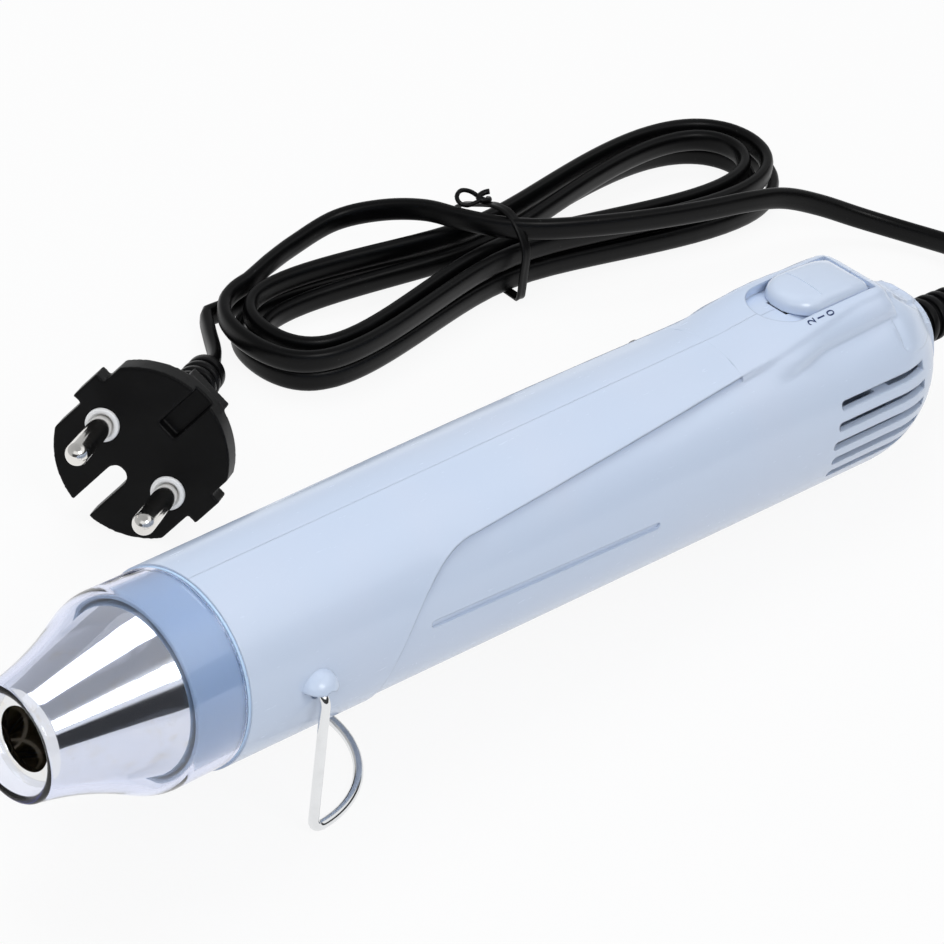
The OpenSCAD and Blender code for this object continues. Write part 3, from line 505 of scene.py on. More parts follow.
def eroded_plastic(name, colour, rough=0.42, grain=0.02):
    """Black plastic from a spark-eroded mould: an even fine texture that catches the light, shiny where handled."""
    f = Finish(name, IOR=1.5, Specular_IOR_Level=0.12)
    pits = f.noise(0.28, 2.0, 0.6)
    waves = f.noise(1.6, 3.0, 0.6)
    handled = f.noise(11, 3.0, 0.5).above(0.45, 0.7)
    f.colour(f.blend(handled * 0.5, colour, tuple(c * 1.6 + 0.001 for c in colour)))
    f.rough(rough - handled * 0.08 + pits * 0.1 - 0.03)
    f.bump(waves, grain * 1.2)
    f.bump(pits, grain)
    return f.material


def rubber(name, colour, rough=0.5):
    """Soft black rubber: dull, with dust in its ribs."""
    f = Finish(name, IOR=1.47, Specular_IOR_Level=0.16)
    cloudy = f.noise(7, 3.0, 0.6)
    dust = f.noise(0.6, 3.0, 0.7).above(0.62, 0.8)
    f.colour(f.blend(dust * 0.1, f.blend(cloudy.above(0.3, 0.7), colour, tuple(c * 1.5 for c in colour)), (0.1,) * 3))
    f.rough(rough + cloudy * 0.14 + dust * 0.1 - 0.07)
    f.bump(f.noise(0.3, 3.0, 0.6), 0.008)
    return f.material


def mica(name, colour):
    """Mica sheet: pale brown flakes with a pearly shine."""
    f = Finish(name, IOR=1.58, Coat_Weight=0.4, Coat_Roughness=0.2)
    flakes = f.node("ShaderNodeTexVoronoi", {"feature": "F1"}, {"Vector": f.where, "Scale": 600}, out="Color")
    share = f.node("ShaderNodeSeparateColor", None, {"Color": flakes}, out="Red")
    f.colour(f.blend(share, colour, tuple(c * 0.72 for c in colour)))
    f.rough(0.3 + share * 0.25)
    f.bump(share, 0.02)
    return f.material


def heating_wire(name):
    """Resistance wire that has been hot: grey oxide with straw and blue in places."""
    f = Finish(name, Metallic=0.85)
    tint = f.noise(4, 2.0).above(0.35, 0.65)
    f.colour(f.blend(tint, (0.21, 0.19, 0.18), (0.17, 0.19, 0.26)))
    f.rough(0.38 + f.noise(0.5, 2.0) * 0.2)
    f.bump(f.noise(0.2, 2.0), 0.006)
    return f.material


def board_green(name):
    """The board: green lacquer over woven glass."""
    f = Finish(name, IOR=1.5, Coat_Weight=0.5, Coat_Roughness=0.12)
    weave = f.node("ShaderNodeTexChecker", None, {"Vector": f.where, "Scale": 1400}, out="Fac")
    f.colour(f.blend(weave * 0.35, (0.015, 0.11, 0.045), (0.03, 0.17, 0.07)))
    f.rough(0.34 + f.noise(3, 2.0) * 0.12)
    f.bump(weave, 0.006)
    return f.material


def printed_ink(colour):
    f = Finish("printed_ink", IOR=1.45)
    thin = f.noise(0.3, 3.0, 0.6)
    f.colour(f.blend(thin.above(0.4, 0.75) * 0.3, colour, tuple(c * 2.2 for c in colour)))
    f.rough(0.35 + thin * 0.2)
    f.bump(thin, 0.004)
    return f.material


MADE = {}


def finish(name, make):
    """The named finish, made once."""
    if name not in MADE:
        MADE[name] = make()
    return MADE[name]


def dress(piece, material):
    """Gives a piece its finish."""
    if piece.material_slots:
        for place in piece.material_slots:
            place.material = material
    else:
        piece.data.materials.append(material)
    return piece


def settle(piece, body, material, replaces=()):
    """Finish, body and material slot of a new piece, and the CAD nodes that it stands for."""
    dress(piece, material)
    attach(piece, body)
    if replaces:
        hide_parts(*replaces)
    return piece


# Sizes and colours that a user would change

class HeatToolSizes(bpy.types.PropertyGroup):
    cord_width: bpy.props.FloatProperty(
        name="Cord width", description="The flat cord's wider side", default=0.0052, unit="LENGTH")
    cord_thickness: bpy.props.FloatProperty(
        name="Cord thickness", description="The flat cord's thinner side", default=0.0031, unit="LENGTH")
    cord_length: bpy.props.FloatProperty(
        name="Cord length", description="From the strain relief to the plug's boot", default=1.58, unit="LENGTH")
    digit_height: bpy.props.FloatProperty(
        name="Digit height", description="Height of the figures beside the switch", default=0.0021, unit="LENGTH")
    lens: bpy.props.FloatProperty(
        name="Lens", description="The camera's focal length in millimetres", default=150.0)
    key_power: bpy.props.FloatProperty(
        name="Key lamp", description="Power of the large lamp", default=4.3, unit="POWER")
    fill_power: bpy.props.FloatProperty(
        name="Fill lamp", description="Power of the second lamp", default=2.2, unit="POWER")
    top_power: bpy.props.FloatProperty(
        name="Top lamp", description="Power of the large lamp above", default=7.5, unit="POWER")
    sky: bpy.props.FloatProperty(
        name="Sky", description="How much even light comes from all round", default=0.44)


class HeatToolColours(bpy.types.PropertyGroup):
    housing: bpy.props.FloatVectorProperty(
        name="Housing", description="Pale blue of the housing", subtype="COLOR", default=(0.585, 0.675, 0.83))
    guard: bpy.props.FloatVectorProperty(
        name="Heat guard", description="Tint of the clear guard", subtype="COLOR", default=(0.48, 0.58, 0.95))
    cord: bpy.props.FloatVectorProperty(
        name="Cord", description="Black of the cord", subtype="COLOR", default=(0.0016, 0.0016, 0.0018))
    plug: bpy.props.FloatVectorProperty(
        name="Plug", description="Black of the plug", subtype="COLOR", default=(0.0028, 0.0028, 0.003))
    ink: bpy.props.FloatVectorProperty(
        name="Ink", description="Dark blue of the figures", subtype="COLOR", default=(0.012, 0.03, 0.11))


def sizes():
    return bpy.context.scene.heat_tool_sizes


def colours():
    return bpy.context.scene.heat_tool_colours


# The cord's route, from the tool to the plug, in mm

HANK_CENTRE, HANK_ANGLE = (83, 89.5), math.radians(-4)
HANK_TURNS, HANK_CLIMB, HANK_START = 4, 1.861, 135  # turns, the turn where the layers change, first angle


def fade(x):
    x = min(max(x, 0), 1)
    return x * x * (3 - 2 * x)


def hank_point(t):
    """A point of the hank after t of its four turns, which climb down from the upper layer to the lower one."""
    a, lane = math.radians(HANK_START + 360 * t), t if t < HANK_CLIMB else 2 * HANK_CLIMB - t
    c, s = math.cos(a), math.sin(a)
    half = (9.4 - 4 * lane) + (28.5 - 3.4 * lane) * (1 + 0.06 * c) * (math.sqrt(c * c + 0.04) - 0.2)
    x = (78.5 - 5.5 * lane) * c * (1 + 0.16 * s * s) - 8 * s * s
    y = half * s
    z = 2.8 + 5.9 * (1 - fade((t - HANK_CLIMB + 0.2) / 0.4)) + 1.5 * s ** 4
    return Vector((HANK_CENTRE[0] + x * math.cos(HANK_ANGLE) - y * math.sin(HANK_ANGLE),
                   HANK_CENTRE[1] + x * math.sin(HANK_ANGLE) + y * math.cos(HANK_ANGLE), z))


LEAD_ROUTE = [
    (152, 1, 16.5), (160, 5, 13.5), (165, 12, 10), (167, 21, 7), (166.5, 31, 5), (163, 41, 4.6), (157, 49, 6.2),
    (149, 55, 9.6), (140, 58.5, 13), (130, 60.5, 14.9), (118, 63.8, 15.3), (104, 68.5, 15.7), (91, 73.5, 16.4),
    (80, 79, 16.9), (73, 85, 17), (68, 92.5, 17), (64.5, 101, 16.4), (59, 109.5, 14), (50.5, 115, 11.6),
    (38, 115, 9.8)]
PLUG_ROUTE = [(2.6, 101.4, 3.2), (7, 107.8, 2.9)]


def cord_line(width):
    """Every point of the cord in order, in metres: the lead, the hank, and the short lead into the plug."""
    step = width / MM
    start = (TOOL @ Vector((RELIEF_END, 0, 0))) / MM
    ahead = (TOOL.to_3x3() @ Vector((1, 0, 0))).normalized()
    loops = [hank_point(k / 96) for k in range(HANK_TURNS * 96 + 1)]
    coarse = [hank_point(t) for t in (0, 1 / 24, HANK_TURNS - 1 / 24, HANK_TURNS)]
    way_in = (coarse[0] - coarse[1]).normalized()
    hank_in = coarse[0] + step * way_in
    way_out = (coarse[3] - coarse[2]).normalized()
    hank_out = coarse[3] + step * way_out
    into_plug = (PLUG.to_3x3() @ Vector((0, 0, 1))).normalized()
    boot_end = (PLUG @ Vector((0, 0, -0.052))) / MM
    lead = [start, start + step * ahead] + [Vector(p) for p in LEAD_ROUTE]
    lead += [hank_in + 0.6 * step * way_in, hank_in]
    last = [hank_out, hank_out + 0.6 * step * way_out] + [Vector(p) for p in reversed(PLUG_ROUTE)]
    last += [boot_end - step * into_plug, boot_end]
    line = [start] + smooth_line(lead, 8) + [hank_in] + loops + [hank_out] + smooth_line(last, 6) + [boot_end]
    return evenly([p * MM for p in line], LINE_STEP)


def cord_section(width, thickness, around=22):
    """Flat two-core cord: rounded edges and a shallow dip between the cores."""
    section = []
    for j in range(around):
        a = 2 * math.pi * (j + 0.5) / around
        c, s = math.cos(a), math.sin(a)
        x = math.copysign(abs(c) ** 0.72, c) * thickness / 2
        y = math.copysign(abs(s) ** 0.94, s) * width / 2
        dip = 1 - 0.07 * math.exp(-(y / (0.16 * width)) ** 2)
        section.append((x * dip, y))
    return section


# Operators, one for each piece or group of like pieces

class HEATTOOL_OT_studio(bpy.types.Operator):
    """Floor, lamps, sky and camera"""
    bl_idname = "heat_tool.studio"
    bl_label = "Studio"

    def execute(self, context):
        scene = context.scene
        select_none()
        bpy.ops.mesh.primitive_plane_add(size=9, location=(0, 0, 0))
        floor = context.object
        floor.name = "floor"
        select_none()
        dress(floor, self.floor_finish())
        self.sky(scene)
        self.lamp("key_lamp", (-0.12, -0.90, 0.95), 0.5, 0.42, sizes().key_power, (1, 0.99, 0.975))
        self.lamp("fill_lamp", (-0.85, -0.25, 0.85), 0.45, 0.45, sizes().fill_power, (0.97, 0.985, 1), mirrored=False)
        self.lamp("top_lamp", (0.10, 0.42, 1.25), 1.0, 0.8, sizes().top_power, (1, 1, 1), mirrored=False)
        self.camera(scene)
        scene.view_settings.view_transform = "Standard"
        return {"FINISHED"}

    def floor_finish(self):
        f = Finish("floor_paper", Roughness=0.9, Specular_IOR_Level=0.1)
        f.shader.inputs["Base Color"].default_value = (0.72, 0.725, 0.74, 1)
        f.rough(0.85 + f.noise(4, 2.0) * 0.1)
        camera = f.node("ShaderNodeLightPath", out="Is Camera Ray")
        glossy = f.node("ShaderNodeLightPath", out="Is Glossy Ray")
        through = f.node("ShaderNodeLightPath", out="Is Transmission Ray")
        seen = camera.math("MAXIMUM", camera, camera.math("MAXIMUM", glossy, through))
        glow = f.node("ShaderNodeEmission", None, {"Color": (1, 1, 1), "Strength": 1})
        paper = Expr(f, f.shader.outputs[0])
        mixed = f.node("ShaderNodeMixShader", None, {0: seen * 0.91, 1: paper, 2: glow})
        f.feed(f.tree.nodes["Material Output"].inputs["Surface"], mixed)
        return f.material

    def sky(self, scene):
        """Even light and a white backdrop. Metal and glass mirror a softbox, a dark wall and a grey ceiling."""
        world = bpy.data.worlds.new("studio_sky")
        scene.world = world
        world.use_nodes = True
        world.node_tree.nodes.clear()
        n = Nodes(world.node_tree)
        seen = n.node("ShaderNodeLightPath", out="Is Camera Ray")
        mirrored = n.node("ShaderNodeLightPath", out="Is Glossy Ray")
        through = n.node("ShaderNodeLightPath", out="Is Transmission Ray")
        towards = n.node("ShaderNodeTexCoord", out="Generated")
        up = n.node("ShaderNodeSeparateXYZ", None, {"Vector": towards}, out="Z")
        behind = n.node("ShaderNodeSeparateXYZ", None, {"Vector": towards}, out="Y").above(-0.2, 0.2)
        softbox = up.above(0.44, 0.50) * (1 - up.above(0.80, 0.88))
        front = 0.05 + softbox * 0.95 + up.above(0.80, 0.88) * 0.36
        wall = front * (1 - behind) + (0.55 - up * 0.12) * behind
        even = (sizes().sky * 0.98, sizes().sky * 0.99, sizes().sky)
        lit = n.blend(mirrored.math("MAXIMUM", mirrored, through), even, n.blend(wall, (0, 0, 0), (0.98, 0.99, 1)))
        shown = n.blend(seen, lit, (1, 1, 1))
        glow = n.node("ShaderNodeBackground", None, {"Color": shown, "Strength": 1})
        end = n.tree.nodes.new("ShaderNodeOutputWorld")
        n.feed(end.inputs["Surface"], glow)

    def lamp(self, name, place, wide, high, power, colour, mirrored=True):
        data = bpy.data.lights.new(name, "AREA")
        data.shape, data.size, data.size_y = "RECTANGLE", wide, high
        data.energy, data.color = power, colour
        lamp = bpy.data.objects.new(name, data)
        bpy.context.scene.collection.objects.link(lamp)
        lamp.visible_glossy = mirrored
        lamp.location = place
        lamp.rotation_euler = (Vector((0, 0.02, 0.02)) - Vector(place)).to_track_quat("-Z", "Y").to_euler()

    def camera(self, scene):
        data = bpy.data.cameras.new("camera")
        camera = bpy.data.objects.new("camera", data)
        scene.collection.objects.link(camera)
        place, aim = Vector((-0.49165, -0.39476, 0.48403)), Vector((-0.00151, 0.02145, 0.020))
        camera.location = place
        turned = (aim - place).to_track_quat("-Z", "Y").to_matrix() @ Matrix.Rotation(math.radians(7.239), 3, "Z")
        camera.rotation_euler = turned.to_euler()
        data.lens, data.sensor_width = sizes().lens, 36
        data.clip_start, data.clip_end = 0.01, 20
        scene.camera = camera


class HEATTOOL_OT_cord(bpy.types.Operator):
    """The flat cord in its hank"""
    bl_idname = "heat_tool.cord"
    bl_label = "Cord"

    def execute(self, context):
        size = sizes()
        line = cord_line(size.cord_width)
        cord = sweep("cord", line, cord_section(size.cord_width, size.cord_thickness))
        material = finish("cord_sheath", lambda: cord_sheath(colours().cord[:]))
        settle(cord, "housing", material, ("cord_lead", "cord_hank", "plug_lead"))
        cord["line"] = [c for p in line for c in p]
        return {"FINISHED"}


class HEATTOOL_OT_tie(bpy.types.Operator):
    """The twist tie round the hank's waist, with the loop of its ends"""
    bl_idname = "heat_tool.tie"
    bl_label = "Tie"

    def execute(self, context):
        place = (Matrix.Translation((HANK_CENTRE[0] * MM, HANK_CENTRE[1] * MM, 0))
                 @ Matrix.Rotation(HANK_ANGLE, 4, "Z") @ Matrix.Translation((-0.008, 0, 0)))
        hull = [(-12.1, 2.4), (-11.4, 0.75), (-9.6, 0.62), (9.6, 0.62), (11.4, 0.75), (12.1, 2.4), (12.15, 7),
                (12.05, 10.8), (10.9, 13.4), (7.2, 15.7), (1.6, 18.8), (-1.4, 20.1), (-4.8, 20.3), (-7.8, 18.6),
                (-10.6, 15.2), (-11.9, 12.4), (-12.2, 8)]
        ring = [place @ Vector((0.35 * math.sin(i) * MM, y * MM, z * MM)) for i, (y, z) in enumerate(hull)]
        line = evenly(smooth_line([ring[-1]] + ring + [ring[0], ring[1]], 8), 0.0009)[:-1]
        flat = [(-1.15, -0.22), (-0.95, -0.38), (-0.3, -0.28), (0.3, -0.28), (0.95, -0.38), (1.15, -0.22),
                (1.15, 0.22), (0.95, 0.38), (0.3, 0.28), (-0.3, 0.28), (-0.95, 0.38), (-1.15, 0.22)]
        across = (place.to_3x3() @ Vector((1, 0, 0))).normalized()
        band = self.band(line, flat, across)
        wire = [(0.4, 3.6, 18.0), (-0.4, 4.2, 19.2), (-2.0, 5.6, 20.6), (-4.4, 6.2, 21.4), (-6.4, 5.4, 21.0),
                (-6.6, 4.0, 20.0), (-5.0, 3.0, 19.4), (-2.6, 2.8, 19.5), (-0.6, 3.1, 19.5), (0.8, 3.2, 18.6),
                (1.4, 3.0, 17.8)]
        loop = smooth_line([place @ (Vector(p) * MM) for p in [wire[0]] + wire + [wire[-1]]], 6)
        round_wire = [(0.52 * MM * math.cos(a), 0.52 * MM * math.sin(a))
                      for a in (k * math.pi / 5 for k in range(10))]
        ends = sweep("tie_ends", evenly(loop, 0.0006), round_wire, upright=False)
        knot = [(1.6 * math.sin(k * 1.1), 3.2 + 0.8 * math.cos(k * 1.1), 18.3 + 0.34 * k) for k in range(9)]
        twist = smooth_line([place @ (Vector(p) * MM) for p in knot], 5)
        twisted = sweep("tie_twist", evenly(twist, 0.0006), [(x * 1.25, y * 1.25) for x, y in round_wire],
                        upright=False)
        tie = join("twist_tie", [band, ends, twisted])
        material = finish("tie_plastic", lambda: moulded_plastic(
            "tie_plastic", (0.002, 0.002, 0.0022), 0.34, 0.01, 0.004, 0.3, Specular_IOR_Level=0.18))
        settle(tie, "housing", material, ("cord_tie",))
        return {"FINISHED"}

    def band(self, line, flat, across):
        count = len(line)
        vertices, faces = [], []
        for i, point in enumerate(line):
            ahead = (line[(i + 1) % count] - line[i - 1]).normalized()
            side = (across - ahead * across.dot(ahead)).normalized()
            out = side.cross(ahead)
            vertices += [point + (side * x + out * y) * MM for x, y in flat]
        n = len(flat)
        for i in range(count):
            for j in range(n):
                k = (i + 1) % count
                faces.append((i * n + j, i * n + (j + 1) % n, k * n + (j + 1) % n, k * n + j))
        band = link_mesh("tie_band", vertices, faces)
        close_up(band)
        return smooth(band, 60)


def body_radius(u):
    """The housing's outside radius, in mm, at a place along it."""
    if u <= 185:
        return 20 + 2.4 * u / 185
    return -7.1 + math.sqrt(29.5 ** 2 - (u - 185) ** 2)


# The crown round the switch, in mm along the housing and above its axis
CROWN_START, CROWN_RISE = 141, 27
CROWN_TOP = [(184, 23.5), (186, 23.4), (187.5, 23.1), (189, 22.5), (191, 21.1), (193, 19.7), (196, 17.6),
             (199, 15.6), (201, 14.4), (203, 13.4), (205, 12.8), (207, 12.5), (210, 12.4)]
WELL_FRONT, WELL_REAR, WELL_HALF = 163.8, 186.8, 7.1


def crown_foot(u):
    """The angle above level, in degrees, at which the crown meets the housing."""
    return max(30, math.degrees(math.asin(min(0.9, 10.4 / body_radius(u)))))


class HEATTOOL_OT_housing(bpy.types.Operator):
    """The two housing halves, with the raised crown round the switch and the rounded cord outlet"""
    bl_idname = "heat_tool.housing"
    bl_label = "Housing"

    def execute(self, context):
        material = finish("housing_plastic", lambda: housing_plastic(colours().housing[:]))
        for name, side in (("near", -1), ("far", 1)):
            shell = copy_of(f"shell_{name}", f"housing_{name}")
            carve(shell, self.outside(), "INTERSECT")
            shell = join(f"housing_{name}", [shell, self.crown(side)])
            smooth(shell, 32)
            settle(shell, "housing", material, (f"shell_{name}",))
        return {"FINISHED"}

    def outside(self):
        """The form that the halves are trimmed to behind the grip: it keeps under the crown."""
        places = [-2, 138, 138.01] + [142 + 4 * k for k in range(12)] + [188 + 0.75 * k for k in range(29)]
        sections = []
        for u in places + [209.5, 210.7, 211.0, OUTLET_END / MM]:
            section = []
            for k in range(144):
                a = 2.5 * k
                if u <= 138:
                    radius = 30
                elif u > 209.2:
                    radius = 9.6 if u < 210.8 else 9.35 if u < 211.05 else 9.0
                else:
                    body = body_radius(u)
                    radius, raised = body + 0.02, min(a, 180 - a)
                    low = crown_foot(u)
                    if u > 187 and raised > low:
                        radius -= max(0, radius - self.skin(u, raised) + 0.06) * fade((raised - low - 2) / 6)
                section.append((u, *polar(radius, a)))
            sections.append(section)
        return loft("housing_outside", sections, TOOL)

    def top(self, u):
        """Height of the crown's top above the axis."""
        if u < CROWN_TOP[0][0]:
            body = body_radius(u)
            return body - 0.08 + (CROWN_TOP[0][1] - body + 0.08) * fade((u - CROWN_START) / CROWN_RISE)
        for (u0, a), (u1, b) in zip(CROWN_TOP, CROWN_TOP[1:]):
            if u <= u1:
                height = a + (b - a) * (u - u0) / (u1 - u0)
                return height if u < 203 else min(height, body_radius(u) - 0.05)
        raise ValueError(f"no height at {u}")

    def skin(self, u, degrees):
        """Radius of the housing's outside at an angle above level, with the crown and what is cut off behind it."""
        a = math.radians(degrees)
        body, top = body_radius(u), self.top(u)
        rise = fade((u - CROWN_START) / CROWN_RISE) * min(1, max(0.3, (208 - u) / 20))
        flat, round_r = 5.6 * rise, body - 0.5 + (7.6 - body + 0.5) * rise
        radius = body - 0.08
        across = flat * math.sin(a) - (top - round_r) * math.cos(a)
        on = flat * math.cos(a) + (top - round_r) * math.sin(a)
        if top >= body - 0.1:
            if top * math.cos(a) <= flat * math.sin(a):
                radius = max(radius, top / math.sin(a))
            elif abs(across) < round_r:
                radius = max(radius, on + math.sqrt(round_r ** 2 - across ** 2))
        elif top / math.sin(a) < body:
            radius -= (body - top / math.sin(a)) * fade((degrees - 36) / 30)
        # The grip's relief runs on under the crown's edge, hidden as far as the well, and ends in a step
        crease = math.degrees(math.asin(min(0.94, (14.7 + (u - 60.5) * 0.053) / body)))
        proud = fade((radius - body) / 0.8)
        hidden = 0.46 * fade((191 - u) / 4)
        radius -= (0.74 + hidden - (0.3 + hidden) * proud) * fade((crease - degrees) / 3.2)
        edge = 203.4 - 0.055 * (90 - degrees)
        return radius - 0.4 * fade((u - edge) / 0.8) * fade((degrees - 30) / 12) * fade((207.5 - u) / 2)

    def crown(self, side):
        """One half of the raised crown: it rises out of the round body, carries the switch and falls off behind."""
        sections = []
        for u in [CROWN_START + 1.5 * k for k in range(29)] + [184.5 + 0.7 * k for k in range(36)]:
            low = crown_foot(u)
            outer = []
            for k in range(46):
                a = 90 - (90 - low) * k / 45
                tucked_in = 0 if k < 44 else 0.5
                outer.append(polar(self.skin(u, a) - tucked_in, a))
            inside = min(body_radius(u), self.top(u)) - 1.4
            inner = [polar(inside, low + (90 - low) * k / 9) for k in range(10)]
            sections.append([(u, side * x, w) for x, w in outer + inner])
        crown = loft("crown", sections, TOOL)
        front = [polar(WELL_HALF, 90 + 5 * k) for k in range(37)]
        well = [(WELL_FRONT + x, v) for x, v in front] + [(WELL_REAR, -WELL_HALF), (WELL_REAR, WELL_HALF)]
        cutter = loft("well", [[(u, v, w) for u, v in well] for w in (8, 40)], TOOL)
        return carve(crown, cutter)


class HEATTOOL_OT_figures(bpy.types.Operator):
    """The figures 0, 1 and 2 beside the switch"""
    bl_idname = "heat_tool.figures"
    bl_label = "Figures"

    def execute(self, context):
        material = finish("printed_ink", lambda: printed_ink(colours().ink[:]))
        shell = bpy.data.objects["housing_near"]
        for figure, u in (("0", 170.4), ("1", 167.4), ("2", 164.4)):
            select_none()
            bpy.ops.object.text_add(location=(0, 0, 0))
            text = context.object
            text.data.body = figure
            text.data.size = sizes().digit_height * 1.42
            text.data.align_x = text.data.align_y = "CENTER"
            text.data.offset = 0.000035
            text.data.resolution_u = 6
            select_only(text)
            bpy.ops.object.convert(target="MESH")
            text = context.object
            text.name = f"figure_{figure}"
            edit_all(text)
            bpy.ops.mesh.remove_doubles(threshold=1e-6)
            bpy.ops.mesh.quads_convert_to_tris()
            bpy.ops.mesh.subdivide(number_cuts=2)
            bpy.ops.object.mode_set(mode="OBJECT")
            # The figure's right is the far side and its top is the nozzle's end
            lie = Matrix(((0, -1, 0, 0), (1, 0, 0, 0), (0, 0, 1, 0), (0, 0, 0, 1)))
            roll = Matrix.Rotation(math.radians(30), 4, "X")
            place = TOOL @ Matrix.Translation((u * MM, -9.7 * MM, 25.2 * MM)) @ roll @ lie
            place_mesh(text, place)
            down = place.to_3x3() @ Vector((0, 0, -1))
            self.lay_on(text, shell, down)
            settle(text, "housing", material)
        return {"FINISHED"}

    def lay_on(self, text, shell, down):
        """Drops every point of a figure on the housing, and a hair above it."""
        for vertex in text.data.vertices:
            hit, point, normal, face = shell.ray_cast(vertex.co, down, distance=0.006)
            if not hit:
                raise RuntimeError(f"{text.name} misses the housing")
            vertex.co = point - down * 0.00003
        text.data.update()


class HEATTOOL_OT_nozzle(bpy.types.Operator):
    """The clear heat guard and the bright nozzle inside it"""
    bl_idname = "heat_tool.nozzle"
    bl_label = "Nozzle"

    def execute(self, context):
        self.guard()
        self.liner()
        self.cone()
        return {"FINISHED"}

    def liner(self):
        """The pale blue ring that lines the guard's band, round the nozzle's root."""
        rings = [(18.03, -11.2), (18.03, -0.42), (19.45, -0.42), (19.55, -0.3), (19.55, 0), (17.8, 0), (17.7, 0.1),
                 (17.7, 6.8), (17.5, 7), (16.4, 7), (16.2, 6.8), (16.2, -1.2), (16.5, -1.6), (17.1, -1.9),
                 (17.1, -11.2), (17.3, -11.5), (17.8, -11.5)]
        liner = turn("guard_liner", rings + [rings[0]], sides=112, tube=True)
        smooth(liner, 30)
        material = finish("liner_plastic", lambda: moulded_plastic(
            "liner_plastic", (0.56, 0.74, 0.95), 0.34, 0.004, 0.001, 0.04))
        settle(liner, "housing", material)

    def guard(self):
        band_r, tip_r, wall, length, band = 19.6, 11.2, 1.5, 38.7, 14.2
        middle = Vector(((tip_r + band_r) / 2, -(length + band) / 2))
        chord = Vector((band_r - tip_r, length - band))
        half, hollow = chord.length / 2, 1.25
        bow = (half ** 2 + hollow ** 2) / (2 * hollow)
        centre = middle + (bow - hollow) * Vector((chord.y, -chord.x)) / (2 * half)

        def flare(radius, start_u, end_u, steps):
            points = []
            for k in range(steps + 1):
                u = start_u + (end_u - start_u) * k / steps
                points.append((centre.x - math.sqrt(radius ** 2 - (u - centre.y) ** 2), u))
            return points

        def shoulder(corner_r, radius, back, reach):
            """The rounding where the band turns into the flare."""
            u0 = -band + back
            end = flare(radius, -band - reach, -band - reach, 1)[0]
            bend = (corner_r, -band + 0.2)
            points = []
            for k in range(7):
                t = k / 6
                points.append(tuple((1 - t) ** 2 * a + 2 * t * (1 - t) * b + t * t * c
                                    for a, b, c in zip((corner_r, u0), bend, end)))
            return points

        outer = [(band_r - 0.25, -0.5), (band_r, -0.75)] + shoulder(band_r, bow, 2.6, 2.8)
        outer += flare(bow, -band - 3.8, -length + 0.2, 12)
        lip = []
        for k in range(9):
            a = math.pi * k / 8
            lip.append((tip_r - 0.75 + 0.75 * math.cos(a), -length - 0.75 * math.sin(a)))
        inner = flare(bow + wall, -length + 0.4, -band - 3.4, 12)
        inner += list(reversed(shoulder(band_r - wall, bow + wall, 2.2, 2.4)))
        rings = outer + lip + inner + [(band_r - wall, -0.5)]
        guard = turn("clear_guard", rings + [rings[0]], sides=128, tube=True)
        smooth(guard, 42)
        material = finish("clear_guard", lambda: clear_guard_plastic(colours().guard[:]))
        settle(guard, "housing", material, ("nozzle_guard",))

    def cone(self):
        rings = [(6.2, -35.8), (6.25, -35.94), (6.4, -36), (8.9, -36), (9.13, -35.92), (9.25, -35.7),
                 (9.45, -35), (16.55, -11.3), (16.6, -11.1), (16.6, -6.8), (16.4, -6.5), (15.8, -6.4), (15.8, 5),
                 (16, 5), (16, 6), (14.6, 6), (14.6, -12.4), (14.5, -12.8), (8.6, -35.4), (6.8, -35.4),
                 (6.8, -34.6), (6.5, -34.5), (6.2, -34.6)]
        cone = turn("nozzle_cone_bright", rings + [rings[0]], sides=128, tube=True)
        smooth(cone, 24)
        settle(cone, "housing", finish("nozzle_chrome", lambda: chrome("nozzle_chrome", heat=0.05)),
               ("nozzle_cone",))


